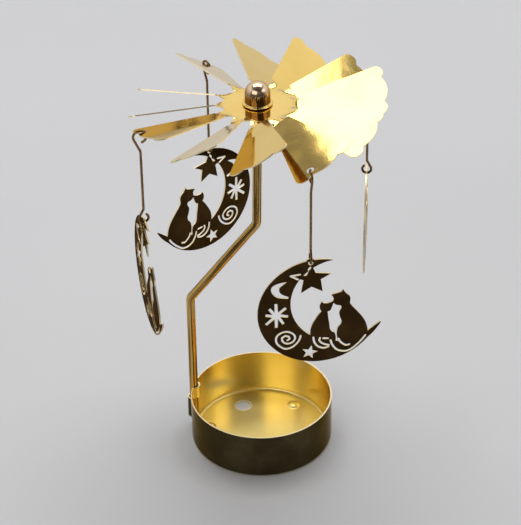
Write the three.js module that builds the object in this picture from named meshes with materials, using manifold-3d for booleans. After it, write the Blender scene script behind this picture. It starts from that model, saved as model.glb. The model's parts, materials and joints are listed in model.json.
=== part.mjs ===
// Candle carousel: a tealight cup, a bent post with a needle point, and a twelve-bladed rotor that
// turns on the point in the rising warm air and carries four hanging charms.
// Units are millimetres, +Z is up. The origin is the centre of the cup's underside.

import * as THREE from 'three';
import { mergeVertices } from 'three/addons/utils/BufferGeometryUtils.js';
import Module from 'manifold-3d';

const wasm = await Module();
wasm.setup();

const degree = Math.PI / 180;
const upright = 90 * degree;

// Fits shared by every piece
const fit = 0.3; // gap between pieces that touch
const overrun = 1; // how far a cutter runs past the sheet it cuts

// Candle cup, drawn from sheet
const cupRadius = 24.5;
const cupHeight = 17;
const cupWall = 0.5;
const cupEdgeRadius = 1.5; // outside fillet between wall and floor
const drainRadius = 2.75; // hole in the floor for pushing the candle out
const drainInset = 8.5; // from the wall to the hole's centre
const drainAngle = 114 * degree;
const nubCount = 3;
const nubRadius = 2;
const nubHeight = 0.8; // how far the raised nubs lift the candle
const nubInset = 6; // from the wall to a nub's centre
const nubAngle = 51.6 * degree;

// Socket in the cup wall: an upper strap pressed in and a lower strap pressed out hold the post
const socketAngle = 166.5 * degree;
const upperStrap = 4.4; // height of the strap at the rim
const lowerStrap = 8;
const strapSlit = 0.4; // height of the cut above and below the lower strap
const strapFillet = 0.8; // bend where a strap leaves the wall
const strapTail = 0.8; // how far a strap runs on inside the wall

// Post, bent from round rod
const rodRadius = 1.45;
const lowerBendHeight = 54;
const upperBendHeight = 87;
const upperBendReach = 0.8; // how far the upper bend stays short of the axis
const rodBendRadius = 3.5;
const pointLength = 5;
const pointShoulder = 0.1; // the turned point is this much slimmer than the rod
const pointEnd = 0.3; // radius left at the needle's end

// Rotor, stamped from sheet and twisted by hand
const hubHeight = 131.5; // of the hub sheet's middle
const rotorRadius = 41;
const rotorSheet = 0.4;
const bladeCount = 12;
const bladeGap = 0.6; // slit between blades
const scallopDepth = 1.2; // of the notches between a tip's wide lobe and its two narrow ones
const cornerDepth = 2.2; // how far a tip's round corners fall back
const notchShare = 0.5; // of the way from a blade's middle line to its side
const crestShare = 0.72;
const neckStart = 10.7; // where the slots between the necks begin
const neckLength = 2.7;
const neckWidth = 4.4;
const shoulder = 0.15; // slope where a neck widens into its blade
const bladeTwists = [20, 28, 33, 34, 32, 27, 29, 17, 32, 30, 27, 22].map((angle) => angle * degree);
const bladeLifts = [10, -3, -3, -5, -5, -11, -8, 1, 4, 5, -4, 0].map((angle) => angle * degree);
const hookInset = 3.2; // from the blade's tip to the hook hole
const hookOffset = 4.2; // from the blade's middle to the hook hole
const hookRadius = 1.2;

// Bearing cap, which rests on the needle and is clinched into the hub
const capRadius = 4.05;
const capWall = 0.45;
const capSkirt = 2.9; // straight wall between flange and dome
const flangeRadius = 4.8;
const flangeThickness = 0.5;
const capNeckRadius = 3.4; // passes through the hub
const clinchRadius = 4.6;

// Hanger wires
const wireRadius = 0.4;
const hookLoopRadius = 2.1; // to the wire's middle
const hookTurn = 285 * degree; // how far round the loop the wire goes
const hookNeck = 5.3; // from the loop's centre down to the shank
const eyeRadius = 1.5; // to the wire's middle
const eyeTurn = 272 * degree;
const eyeNeck = 3.2; // from the eye's centre up to the shank
const wireBendRadius = 1.2;

// Charms, stamped from sheet
const charmRadius = 19.5; // of the crescent's outer edge
const charmSheet = 0.5;
const hollowRadiusShare = 0.8; // of the circle that leaves the crescent
const hollowOffsetShare = 0.382; // between the two circles' centres
const hollowAngle = 28 * degree;
const hornRound = 0.35; // blunts the crescent's horns
const earAngle = 98.4 * degree;
const earOverhang = 0.7; // how far the ear stands proud of the crescent
const earRadius = 1.6;
const earHoleRadius = 0.8;
const slotWidthShare = 0.034; // cut lines of the spiral, the tails and the star

// The hangers: the blade each hangs from, how far it has turned from facing along that blade and the
// drop from the centre of its loop to the centre of its eye
const rightDrop = 28.4;
const backDrop = 30.5;
const leftDrop = 29.5;
const frontDrop = 29.2;
const hangers = [
  { side: 'right', blade: 1, turn: -35 * degree, drop: rightDrop },
  { side: 'back', blade: 4, turn: 6 * degree, drop: backDrop },
  { side: 'left', blade: 7, turn: -15 * degree, drop: leftDrop },
  { side: 'front', blade: 10, turn: -23 * degree, drop: frontDrop },
];

// Finishes
const gold = 0xe6bd5a;
const polished = (roughness) => new THREE.MeshStandardMaterial({ color: gold, roughness, metalness: 1 });
const cupFinish = polished(0.25);
const postFinish = polished(0.15);
const rotorFinish = polished(0.2);
const capFinish = new THREE.MeshStandardMaterial({ color: 0xe8d2a8, roughness: 0.08, metalness: 1 });
const wireFinish = polished(0.3);
const charmFinish = polished(0.2);

// Points are merged and collapsed triangles are dropped, which leaves a closed mesh.
function weld(geometry) {
  const bare = geometry.clone();
  bare.deleteAttribute('normal');
  bare.deleteAttribute('uv');
  const welded = mergeVertices(bare);
  const corners = welded.index.array;
  const kept = [];
  for (let i = 0; i < corners.length; i += 3) {
    const [a, b, c] = corners.slice(i, i + 3);
    if (a !== b && b !== c && c !== a) kept.push(a, b, c);
  }
  welded.setIndex(kept);
  return welded;
}

function toSolid(geometry) {
  const welded = weld(geometry);
  const vertProperties = new Float32Array(welded.attributes.position.array);
  const triVerts = new Uint32Array(welded.index.array);
  return new wasm.Manifold(new wasm.Mesh({ numProp: 3, vertProperties, triVerts }));
}

function fromSolid(solid) {
  const mesh = solid.getMesh();
  const geometry = new THREE.BufferGeometry();
  geometry.setAttribute('position', new THREE.BufferAttribute(mesh.vertProperties, 3));
  geometry.setIndex(new THREE.BufferAttribute(mesh.triVerts, 1));
  geometry.computeVertexNormals();
  return geometry;
}

function piece(name, geometry, material) {
  const mesh = new THREE.Mesh(geometry, material);
  mesh.name = name;
  return mesh;
}

const onCircle = (centre, radius, angle) =>
  new THREE.Vector2(centre.x + radius * Math.cos(angle), centre.y + radius * Math.sin(angle));

function arc(centre, radius, from, to, steps) {
  const points = [];
  for (let i = 0; i <= steps; i += 1) {
    points.push(onCircle(centre, radius, from + ((to - from) * i) / steps));
  }
  return points;
}

// A straight prism on an outline, from one height to another
function prism(points, bottom, top) {
  const shape = new THREE.Shape(points);
  const geometry = new THREE.ExtrudeGeometry(shape, { depth: top - bottom, bevelEnabled: false });
  return geometry.translate(0, 0, bottom);
}

function disc(radius, bottom, top, sides) {
  const outline = arc(new THREE.Vector2(), radius, 0, 2 * Math.PI, sides).slice(0, sides);
  return prism(outline, bottom, top);
}

// An outline of even width on both sides of a line of points
function ribbon(points, width) {
  const sides = [[], []];
  points.forEach((point, i) => {
    const before = points[Math.max(i - 1, 0)];
    const after = points[Math.min(i + 1, points.length - 1)];
    const along = after.clone().sub(before).normalize();
    const across = new THREE.Vector2(-along.y, along.x).multiplyScalar(width / 2);
    sides[0].push(point.clone().sub(across));
    sides[1].unshift(point.clone().add(across));
  });
  return sides.flat();
}

// A line through corners, with each inner corner rounded to a radius
function roundedLine(corners, radius, steps) {
  const points = [corners[0]];
  for (let i = 1; i < corners.length - 1; i += 1) {
    const corner = corners[i];
    const back = corners[i - 1].clone().sub(corner).normalize();
    const ahead = corners[i + 1].clone().sub(corner).normalize();
    const half = Math.acos(THREE.MathUtils.clamp(back.dot(ahead), -1, 1)) / 2;
    const middle = back.clone().add(ahead).normalize();
    const centre = corner.clone().addScaledVector(middle, radius / Math.sin(half));
    const start = corner.clone().addScaledVector(back, radius / Math.tan(half)).sub(centre).angle();
    const end = corner.clone().addScaledVector(ahead, radius / Math.tan(half)).sub(centre).angle();
    const sweep = THREE.MathUtils.euclideanModulo(end - start + Math.PI, 2 * Math.PI) - Math.PI;
    points.push(...arc(centre, radius, start, start + sweep, steps));
  }
  points.push(corners[corners.length - 1]);
  return points;
}

// A path that an extrusion follows point by point, however uneven their spacing
class PointPath extends THREE.Curve {
  constructor(points) {
    super();
    this.points = points;
  }

  getPoint(share, target = new THREE.Vector3()) {
    const place = share * (this.points.length - 1);
    const i = Math.min(Math.floor(place), this.points.length - 2);
    return target.lerpVectors(this.points[i], this.points[i + 1], place - i);
  }

  getPointAt(share, target) {
    return this.getPoint(share, target);
  }

  getTangentAt(share, target = new THREE.Vector3()) {
    const i = Math.round(share * (this.points.length - 1));
    const before = this.points[Math.max(i - 1, 0)];
    const after = this.points[Math.min(i + 1, this.points.length - 1)];
    return target.subVectors(after, before).normalize();
  }
}

// Round stock along a line drawn in the XZ plane
function roundBar(line, radius, sides) {
  const section = new THREE.Shape(arc(new THREE.Vector2(), radius, 0, 2 * Math.PI, sides).slice(0, sides));
  const extrudePath = new PointPath(line.map((point) => new THREE.Vector3(point.x, 0, point.y)));
  return new THREE.ExtrudeGeometry(section, { extrudePath, steps: line.length - 1, bevelEnabled: false });
}

// A turned solid: profile points are radius and height, from the axis round to the axis
function turned(profile, segments) {
  return new THREE.LatheGeometry(profile, segments).rotateX(upright);
}

// Cup

const cupSegments = 64;
const wallMiddle = cupRadius - cupWall / 2;
const strapTop = cupHeight - upperStrap; // underside of the upper strap
const lowerStrapTop = strapTop - strapSlit;
const lowerStrapBottom = lowerStrapTop - lowerStrap;
const windowBottom = lowerStrapBottom - strapSlit;
const strapRadius = rodRadius + fit + cupWall / 2; // of the strap's middle round the rod
const strapLap = strapTail / wallMiddle;

function cupShell() {
  const inner = cupEdgeRadius - cupWall;
  const filletX = cupRadius - cupEdgeRadius;
  const outside = arc(new THREE.Vector2(filletX, cupEdgeRadius), cupEdgeRadius, -upright, 0, 4);
  const inside = arc(new THREE.Vector2(filletX, cupEdgeRadius), inner, 0, -upright, 4);
  const rim = [new THREE.Vector2(cupRadius, cupHeight), new THREE.Vector2(cupRadius - cupWall, cupHeight)];
  const profile = [new THREE.Vector2(0, 0), ...outside, ...rim, ...inside, new THREE.Vector2(0, cupWall)];
  return toSolid(turned(profile, cupSegments));
}

// The centre of the fillet where a strap bends out of the wall: side is 1 outwards, -1 inwards
function strapFilletCentre(side) {
  const reach = wallMiddle + side * strapFillet;
  const gap = strapRadius + strapFillet;
  const x = (reach ** 2 - gap ** 2 + wallMiddle ** 2) / (2 * wallMiddle);
  return new THREE.Vector2(x, Math.sqrt(reach ** 2 - x ** 2));
}

// The middle line of a strap, seen from above with the rod on the X axis
function strapLine(side) {
  const rod = new THREE.Vector2(wallMiddle, 0);
  const fillet = strapFilletCentre(side);
  const wallAngle = fillet.angle();
  const rodAngle = fillet.clone().sub(rod).angle();
  const crownAngle = side > 0 ? 0 : Math.PI;
  const bend = arc(fillet, strapFillet, wallAngle - Math.PI + crownAngle, rodAngle - Math.PI, 3);
  const tail = onCircle(new THREE.Vector2(), wallMiddle, wallAngle + strapLap);
  const crown = onCircle(rod, strapRadius, crownAngle);
  const half = [tail, ...bend, ...arc(rod, strapRadius, rodAngle, crownAngle, 5).slice(1, -1)];
  const mirrored = half.map((point) => new THREE.Vector2(point.x, -point.y)).reverse();
  return [...half, crown, ...mirrored];
}

function strap(side, bottom, top) {
  return toSolid(prism(ribbon(strapLine(side), cupWall), bottom, top));
}

// The opening in the wall that both straps were pressed from
function strapWindow(side, bottom, top) {
  const half = strapFilletCentre(side).y;
  const near = wallMiddle - cupWall - overrun;
  const far = cupRadius + overrun;
  const outline = [
    new THREE.Vector2(near, -half),
    new THREE.Vector2(far, -half),
    new THREE.Vector2(far, half),
    new THREE.Vector2(near, half),
  ];
  return toSolid(prism(outline, bottom, top));
}

// A low dome on a stem, for a nub's raised side and for the hollow beneath it
function dimple(radius, top) {
  const crown = arc(new THREE.Vector2(), radius, 0, upright, 3);
  crown.forEach((point) => {
    point.y *= top / radius;
  });
  crown[crown.length - 1].x = 0;
  return toSolid(
    turned([new THREE.Vector2(0, -overrun), new THREE.Vector2(radius, -overrun), ...crown], 14),
  );
}

function candleCup() {
  const windows = strapWindow(1, windowBottom, lowerStrapTop + strapSlit).add(
    strapWindow(-1, strapTop, cupHeight + overrun),
  );
  const straps = strap(1, lowerStrapBottom, lowerStrapTop).add(strap(-1, strapTop, cupHeight));
  let cup = cupShell().subtract(windows).add(straps).rotate(0, 0, socketAngle / degree);

  const drain = onCircle(new THREE.Vector2(), cupRadius - drainInset, drainAngle);
  cup = cup.subtract(
    toSolid(disc(drainRadius, -overrun, cupWall + overrun, 28)).translate(drain.x, drain.y, 0),
  );
  for (let i = 0; i < nubCount; i += 1) {
    const nub = onCircle(new THREE.Vector2(), cupRadius - nubInset, nubAngle + (2 * Math.PI * i) / nubCount);
    const hollow = dimple(nubRadius - cupWall, nubHeight).translate(nub.x, nub.y, 0);
    const raised = dimple(nubRadius, cupWall + nubHeight).translate(nub.x, nub.y, 0);
    cup = cup.add(raised.trimByPlane([0, 0, 1], 0)).subtract(hollow);
  }
  return piece('candle_cup', fromSolid(cup), cupFinish);
}

// Bearing cap: heights are from the middle of the hub sheet

const hubFace = rotorSheet / 2;
const flangeBottom = hubFace + fit;
const flangeTop = flangeBottom + flangeThickness;
const domeCentre = flangeTop + capSkirt;
const capBore = capRadius - capWall;
const pivot = domeCentre + capBore - fit; // the needle's end

function bearingCap() {
  const centre = new THREE.Vector2(0, domeCentre);
  const outside = arc(centre, capRadius, upright, 0, 8);
  const inside = arc(centre, capBore, 0, upright, 8);
  const neckBore = capNeckRadius - capWall;
  const clinchTop = -hubFace - fit;
  const clinchBottom = clinchTop - capWall;
  outside[0].x = 0;
  inside[inside.length - 1].x = 0;
  const profile = [
    ...outside,
    new THREE.Vector2(capRadius, flangeTop),
    new THREE.Vector2(flangeRadius, flangeTop),
    new THREE.Vector2(flangeRadius, flangeBottom),
    new THREE.Vector2(capNeckRadius, flangeBottom),
    new THREE.Vector2(capNeckRadius, clinchTop),
    new THREE.Vector2(clinchRadius, clinchTop),
    new THREE.Vector2(clinchRadius, clinchBottom),
    new THREE.Vector2(neckBore, clinchBottom),
    new THREE.Vector2(neckBore, flangeBottom),
    new THREE.Vector2(capBore, flangeTop),
    ...inside,
  ].reverse();
  return piece('bearing_cap', fromSolid(toSolid(turned(profile, 32))), capFinish);
}

// Post

function post() {
  const top = hubHeight + pivot - pointLength;
  const corners = [
    new THREE.Vector2(wallMiddle, lowerStrapBottom + fit),
    new THREE.Vector2(wallMiddle, lowerBendHeight),
    new THREE.Vector2(upperBendReach, upperBendHeight),
    new THREE.Vector2(0, top),
  ];
  const rod = toSolid(roundBar(roundedLine(corners, rodBendRadius, 5), rodRadius, 14));
  const needle = [
    new THREE.Vector2(0, -overrun),
    new THREE.Vector2(rodRadius - pointShoulder, -overrun),
    new THREE.Vector2(rodRadius - pointShoulder, 0),
    new THREE.Vector2(pointEnd, pointLength),
    new THREE.Vector2(0, pointLength),
  ];
  const point = toSolid(turned(needle, 14)).translate(0, 0, top);
  const mesh = piece('post', fromSolid(rod.add(point)), postFinish);
  mesh.rotation.z = socketAngle;
  return mesh;
}

// Rotor

const sector = (2 * Math.PI) / bladeCount;
const neckEnd = neckStart + neckLength;
const hubBore = capNeckRadius + fit;

// A point of the flat blank, from a blade's own length and width
function onBlank(blade, along, across) {
  const angle = blade * sector;
  return new THREE.Vector2(
    along * Math.cos(angle) - across * Math.sin(angle),
    along * Math.sin(angle) + across * Math.cos(angle),
  );
}

// Half the width of a blade at a distance from the axis: the slits run between straight sides
const bladeHalf = (along) => along * Math.tan(sector / 2) - bladeGap / 2 / Math.cos(sector / 2);

// How far a tip falls back from the rotor's radius, at a share of the way from the middle line to the side
function tipFall(share) {
  if (share < notchShare) return scallopDepth * (share / notchShare) ** 2;
  if (share < crestShare) return scallopDepth * ((crestShare - share) / (crestShare - notchShare)) ** 2;
  const corner = (share - crestShare) / (1 - crestShare);
  return cornerDepth * (1 - Math.sqrt(Math.max(0, 1 - corner ** 2)));
}

function tipShares() {
  const shares = [];
  for (let i = 1; i <= 5; i += 1) shares.push((notchShare * i) / 5);
  for (let i = 1; i <= 2; i += 1) shares.push(notchShare + ((crestShare - notchShare) * i) / 2);
  for (let i = 1; i <= 4; i += 1) shares.push(crestShare + (1 - crestShare) * Math.sin((Math.PI / 8) * i));
  return [...shares.map((share) => -share).reverse(), 0, ...shares];
}

function tipOutline() {
  const widest = sector / 2 - bladeGap / 2 / rotorRadius;
  return tipShares().map((share) => {
    const angle = widest * share;
    const radius = rotorRadius - tipFall(Math.abs(share));
    return { along: radius * Math.cos(angle), across: radius * Math.sin(angle) };
  });
}

// The formed place of a point of the blank, and of the sheet's faces above and below it
function formed(point, height) {
  const blade = Math.round(point.angle() / sector) % bladeCount;
  const flat = onBlank(-blade, point.x, point.y);
  const share = THREE.MathUtils.clamp((flat.x - neckStart) / neckLength, 0, 1);
  if (share === 0) return new THREE.Vector3(point.x, point.y, height);
  const twist = bladeTwists[blade] * share;
  const lift = bladeLifts[blade] * share;
  const neck = Math.min(flat.x, neckEnd) - neckStart;
  const rest = Math.max(flat.x - neckEnd, 0);
  const up = flat.y * Math.sin(twist) + height * Math.cos(twist);
  const along = neckStart + neck * Math.cos(lift / 2) + rest * Math.cos(lift) - up * Math.sin(lift);
  const across = flat.y * Math.cos(twist) - height * Math.sin(twist);
  const place = onBlank(blade, along, across);
  return new THREE.Vector3(
    place.x,
    place.y,
    neck * Math.sin(lift / 2) + rest * Math.sin(lift) + up * Math.cos(lift),
  );
}

function hubRegion() {
  const outline = [];
  for (let blade = 0; blade < bladeCount; blade += 1) {
    outline.push(onBlank(blade, neckStart, -neckWidth / 2), onBlank(blade, neckStart, neckWidth / 2));
  }
  const bore = arc(new THREE.Vector2(), hubBore, 0, 2 * Math.PI, 24).slice(0, 24);
  return { outline, holes: [bore] };
}

function neckRegions(blade) {
  const steps = 5;
  const edge = (i, side) => onBlank(blade, neckStart + (neckLength * i) / steps, (side * neckWidth) / 2);
  const regions = [];
  for (let i = 0; i < steps; i += 1) {
    regions.push({ outline: [edge(i, -1), edge(i + 1, -1), edge(i + 1, 1), edge(i, 1)], holes: [] });
  }
  return regions;
}

const hookPlace = (blade) => onBlank(blade, rotorRadius - hookInset, -hookOffset);

function bladeRegion(blade) {
  const root = neckEnd + shoulder;
  const outline = [
    onBlank(blade, neckEnd, -neckWidth / 2),
    onBlank(blade, root, -bladeHalf(root)),
    ...tipOutline().map(({ along, across }) => onBlank(blade, along, across)),
    onBlank(blade, root, bladeHalf(root)),
    onBlank(blade, neckEnd, neckWidth / 2),
  ];
  const hooked = hangers.some((hanger) => hanger.blade === blade);
  const hole = arc(hookPlace(blade), hookRadius, 0, 2 * Math.PI, 12).slice(0, 12);
  return { outline, holes: hooked ? [hole] : [] };
}

// Sheet metal from a flat blank: regions that share edges are triangulated, both faces are carried
// to their formed places, and every open edge gets a wall.
function formedSheet(regions, thickness, form) {
  const places = [];
  const known = new Map();
  const indexOf = (point) => {
    const key = `${point.x.toFixed(4)} ${point.y.toFixed(4)}`;
    if (!known.has(key)) known.set(key, places.push(point) - 1);
    return known.get(key);
  };
  const faces = regions.flatMap(({ outline, holes }) => {
    const corners = [outline, ...holes].flat().map(indexOf);
    return THREE.ShapeUtils.triangulateShape(outline, holes).map((face) => face.map((i) => corners[i]));
  });
  const area = ([a, b, c]) => THREE.ShapeUtils.area([places[a], places[b], places[c]]);
  const upward = faces.map((face) => (area(face) > 0 ? face : [...face].reverse()));

  const count = places.length;
  const edges = new Set(upward.flatMap(([a, b, c]) => [`${a} ${b}`, `${b} ${c}`, `${c} ${a}`]));
  const index = upward.flatMap(([a, b, c]) => [a, b, c, c + count, b + count, a + count]);
  for (const edge of edges) {
    const [a, b] = edge.split(' ').map(Number);
    if (!edges.has(`${b} ${a}`)) index.push(b, a, a + count, b, a + count, b + count);
  }
  const top = places.flatMap((point) => form(point, thickness / 2).toArray());
  const bottom = places.flatMap((point) => form(point, -thickness / 2).toArray());
  const geometry = new THREE.BufferGeometry();
  geometry.setAttribute('position', new THREE.Float32BufferAttribute([...top, ...bottom], 3));
  geometry.setIndex(index);
  geometry.computeVertexNormals();
  return geometry;
}

function rotor() {
  const regions = [hubRegion()];
  for (let blade = 0; blade < bladeCount; blade += 1) {
    regions.push(...neckRegions(blade), bladeRegion(blade));
  }
  return piece('rotor', formedSheet(regions, rotorSheet, formed), rotorFinish);
}

// Hanger wires: drawn in the XZ plane with X outwards and the loop's centre at the origin

const hookSeat = hubFace + fit + wireRadius; // from the middle of the sheet to the wire's middle

// The angle on a circle where a line touches it that comes from above or below its centre at a
// distance: side is 1 or -1
const touchAngle = (away, radius, side) => Math.sign(away) * upright + side * Math.acos(radius / Math.abs(away));

function hangerLine(drop) {
  const eye = new THREE.Vector2(0, -drop);
  const shankTop = new THREE.Vector2(0, -hookNeck);
  const shankBottom = new THREE.Vector2(0, eyeNeck - drop);
  const loopStart = touchAngle(-hookNeck, hookLoopRadius, 1);
  const eyeStart = touchAngle(eyeNeck, eyeRadius, -1);
  const loop = arc(new THREE.Vector2(), hookLoopRadius, loopStart + hookTurn, loopStart, 14);
  const ring = arc(eye, eyeRadius, eyeStart, eyeStart - eyeTurn, 14);
  const shank = roundedLine([loop[loop.length - 1], shankTop, shankBottom, ring[0]], wireBendRadius, 3);
  return [...loop, ...shank.slice(1, -1), ...ring];
}

function hangerWire({ side, drop }) {
  return piece(`hanger_${side}`, roundBar(hangerLine(drop), wireRadius, 6), wireFinish);
}

// Charms: drawn with the crescent's centre at the origin, X to the right as seen from outside.
// The outlines' points are shares of the charm's radius.

const bigCatShares = [
  [0.4, -0.72], [0.33, -0.66], [0.3, -0.54], [0.295, -0.44], [0.31, -0.355], [0.355, -0.295],
  [0.37, -0.23], [0.345, -0.15], [0.33, -0.055], [0.365, 0.035], [0.35, 0.08], [0.275, 0.1],
  [0.23, 0.155], [0.235, 0.235], [0.195, 0.305], [0.355, 0.345], [0.385, 0.395], [0.435, 0.315],
  [0.49, 0.26], [0.51, 0.195], [0.505, 0.115], [0.545, 0.045], [0.615, -0.045], [0.68, -0.13],
  [0.75, -0.25], [0.79, -0.37], [0.8, -0.48], [0.74, -0.6], [0.55, -0.73],
];
const smallCatShares = [
  [-0.14, -0.55], [-0.14, -0.37], [-0.115, -0.265], [-0.07, -0.175], [-0.005, -0.065], [0.04, -0.01],
  [0.015, 0.04], [0.01, 0.105], [0.04, 0.18], [0.075, 0.15], [0.155, 0.145], [0.245, 0.185],
  [0.215, 0.075], [0.185, 0], [0.14, -0.02], [0.15, -0.13], [0.17, -0.26], [0.18, -0.36],
  [0.21, -0.42], [0.255, -0.45], [0.28, -0.54], [0.27, -0.7], [0, -0.66],
];
const hornShares = [
  [0.78, -0.5], [0.9, -0.385], [1.01, -0.3], [1.02, -0.31], [0.97, -0.4], [0.88, -0.52], [0.76, -0.64],
];
const bigStarShares = [
  [-0.12, 0.9], [-0.06, 0.75], [0.19, 0.715], [0.025, 0.62], [0.055, 0.385],
  [-0.125, 0.49], [-0.295, 0.38], [-0.255, 0.625], [-0.44, 0.71], [-0.205, 0.71],
];
const moonShares = [
  [-0.52, 0.615], [-0.6, 0.61], [-0.705, 0.58], [-0.765, 0.535], [-0.775, 0.46], [-0.735, 0.375],
  [-0.655, 0.32], [-0.5, 0.29], [-0.495, 0.325], [-0.585, 0.37], [-0.64, 0.43], [-0.64, 0.51],
  [-0.585, 0.565],
];
const burstShares = {
  core: [-0.695, -0.025],
  notch: 0.07,
  ray: 0.023,
  tips: [
    [-0.505, -0.055], [-0.54, 0.115], [-0.7, 0.21], [-0.81, 0.12],
    [-0.87, 0], [-0.865, -0.185], [-0.695, -0.26], [-0.58, -0.195],
  ],
};
const smallStarShares = { centre: [-0.15, -0.805], tip: 0.14, notch: 0.06 };
const smallStarTilt = 76 * degree;
const spiralShares = [
  [-0.3, -0.46], [-0.32, -0.54], [-0.375, -0.62], [-0.455, -0.68], [-0.55, -0.695], [-0.645, -0.635],
  [-0.7, -0.54], [-0.69, -0.44], [-0.63, -0.38], [-0.535, -0.355], [-0.44, -0.395], [-0.39, -0.47],
  [-0.41, -0.55], [-0.47, -0.59], [-0.54, -0.59], [-0.595, -0.54], [-0.605, -0.47], [-0.55, -0.435],
  [-0.495, -0.455], [-0.48, -0.505], [-0.515, -0.525],
];
const tailShares = [
  [[-0.09, -0.515], [-0.08, -0.585], [-0.055, -0.65], [0, -0.71], [0.085, -0.74], [0.16, -0.72]],
  [[0.02, -0.535], [0.005, -0.575], [0.035, -0.625], [0.095, -0.665], [0.165, -0.69]],
  [[0.15, -0.555], [0.075, -0.545]],
  [
    [0.195, -0.6], [0.21, -0.66], [0.245, -0.73], [0.3, -0.795], [0.395, -0.835],
    [0.49, -0.83], [0.57, -0.78], [0.665, -0.69], [0.73, -0.61], [0.765, -0.555],
  ],
  [[0.325, -0.58], [0.345, -0.63], [0.395, -0.685], [0.45, -0.72], [0.505, -0.71]],
];
const starSlitShares = [
  [[-0.145, 0.86], [-0.17, 0.82]],
  [[-0.46, 0.722], [-0.31, 0.74]],
  [[-0.46, 0.722], [-0.345, 0.65]],
];

const hollowRadius = charmRadius * hollowRadiusShare;
const hollowOffset = charmRadius * hollowOffsetShare;
const slotWidth = charmRadius * slotWidthShare;
const sized = ([x, y]) => new THREE.Vector2(x * charmRadius, y * charmRadius);
const charmPlate = (points) => toSolid(prism(points, -charmSheet / 2, charmSheet / 2));
const charmCutter = (points) => toSolid(prism(points, -charmSheet / 2 - overrun, charmSheet / 2 + overrun));

// The crescent between two circles, with blunt horns
function crescentOutline() {
  const reach = (charmRadius ** 2 + hollowOffset ** 2 - hollowRadius ** 2) / (2 * hollowOffset);
  const half = Math.acos(reach / charmRadius);
  const blunt = hornRound / charmRadius;
  const horn = onCircle(new THREE.Vector2(-hollowOffset, 0), charmRadius, half);
  const inner = horn.angle() + hornRound / hollowRadius;
  const middle = onCircle(new THREE.Vector2(), hollowOffset, hollowAngle);
  const from = hollowAngle + half + blunt;
  const to = hollowAngle + 2 * Math.PI - half - blunt;
  return [
    ...arc(new THREE.Vector2(), charmRadius, from, to, 40),
    ...arc(middle, hollowRadius, hollowAngle + 2 * Math.PI - inner, hollowAngle + inner, 30),
  ];
}

function starOutline({ centre, tip, notch }, tilt) {
  const points = [];
  for (let i = 0; i < 10; i += 1) {
    const reach = (i % 2 ? notch : tip) * charmRadius;
    points.push(onCircle(sized(centre), reach, tilt + (Math.PI * i) / 5));
  }
  return points;
}

// Straight rays from a core out to the tips, with a notch after each ray
function burstOutline({ core, notch, ray, tips }) {
  const centre = sized(core);
  const step = (2 * Math.PI) / tips.length;
  return tips.flatMap((tip, i) => {
    const end = sized(tip);
    const along = end.clone().sub(centre).normalize();
    const across = new THREE.Vector2(-along.y, along.x).multiplyScalar(ray * charmRadius);
    const corner = onCircle(centre, notch * charmRadius, step * i + step / 2);
    return [end.clone().sub(across), end.clone().add(across), corner];
  });
}

const earCentre = onCircle(new THREE.Vector2(), charmRadius + earOverhang - earRadius, earAngle);

function charmGeometry() {
  const ear = arc(earCentre, earRadius, 0, 2 * Math.PI, 18).slice(0, 18);
  const hole = arc(earCentre, earHoleRadius, 0, 2 * Math.PI, 10).slice(0, 10);
  const plates = [bigCatShares, smallCatShares, bigStarShares, hornShares].map((shares) => shares.map(sized));
  const slots = [spiralShares, ...tailShares, ...starSlitShares];
  const cuts = [
    moonShares.map(sized),
    burstOutline(burstShares),
    starOutline(smallStarShares, smallStarTilt),
    ...slots.map((line) => ribbon(line.map(sized), slotWidth)),
    hole,
  ];
  let charm = charmPlate(crescentOutline());
  for (const plate of [...plates, ear]) charm = charm.add(charmPlate(plate));
  for (const cut of cuts) charm = charm.subtract(charmCutter(cut));
  // Stood up, with the hole at the origin and X outwards
  return fromSolid(charm.translate(-earCentre.x, -earCentre.y, 0))
    .rotateX(upright)
    .rotateZ(upright);
}

// The centre of an upright loop whose wire runs through the middle of its hole and over the sheet
function loopCentre(blade, facing) {
  const hole = formed(hookPlace(blade), 0);
  const normal = formed(hookPlace(blade), rotorSheet).sub(hole).normalize();
  const outward = new THREE.Vector3(Math.cos(facing), Math.sin(facing), 0);
  const along = outward.clone().setZ(-normal.dot(outward) / normal.z).normalize();
  const above = outward.clone().multiplyScalar(-along.z).setZ(along.dot(outward));
  const seat = hookSeat / above.dot(normal);
  const reach = Math.sqrt(hookLoopRadius ** 2 - (hookLoopRadius - seat) ** 2);
  return hole.addScaledVector(along, reach).addScaledVector(above, seat - hookLoopRadius);
}

// A hanger and its charm, in the rotor's frame
function hangingCharm(hanger, geometry) {
  const facing = hanger.blade * sector + hanger.turn;
  const charm = piece(`charm_${hanger.side}`, geometry, charmFinish);
  charm.position.z = wireRadius + fit - earHoleRadius - hanger.drop - eyeRadius;
  const group = new THREE.Group();
  group.add(hangerWire(hanger), charm);
  group.position.copy(loopCentre(hanger.blade, facing));
  group.rotation.z = facing;
  return group;
}

// Carousel

function carousel() {
  const turning = new THREE.Group();
  const geometry = charmGeometry();
  turning.add(rotor(), bearingCap(), ...hangers.map((hanger) => hangingCharm(hanger, geometry)));
  turning.position.z = hubHeight;
  const whole = new THREE.Group();
  whole.add(candleCup(), post(), turning);
  return whole;
}

export default carousel();
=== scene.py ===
import json
from math import acos, asin, atan2, cos, hypot, pi, radians, sin, sqrt, tan

import bpy
from mathutils import Matrix, Vector


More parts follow.
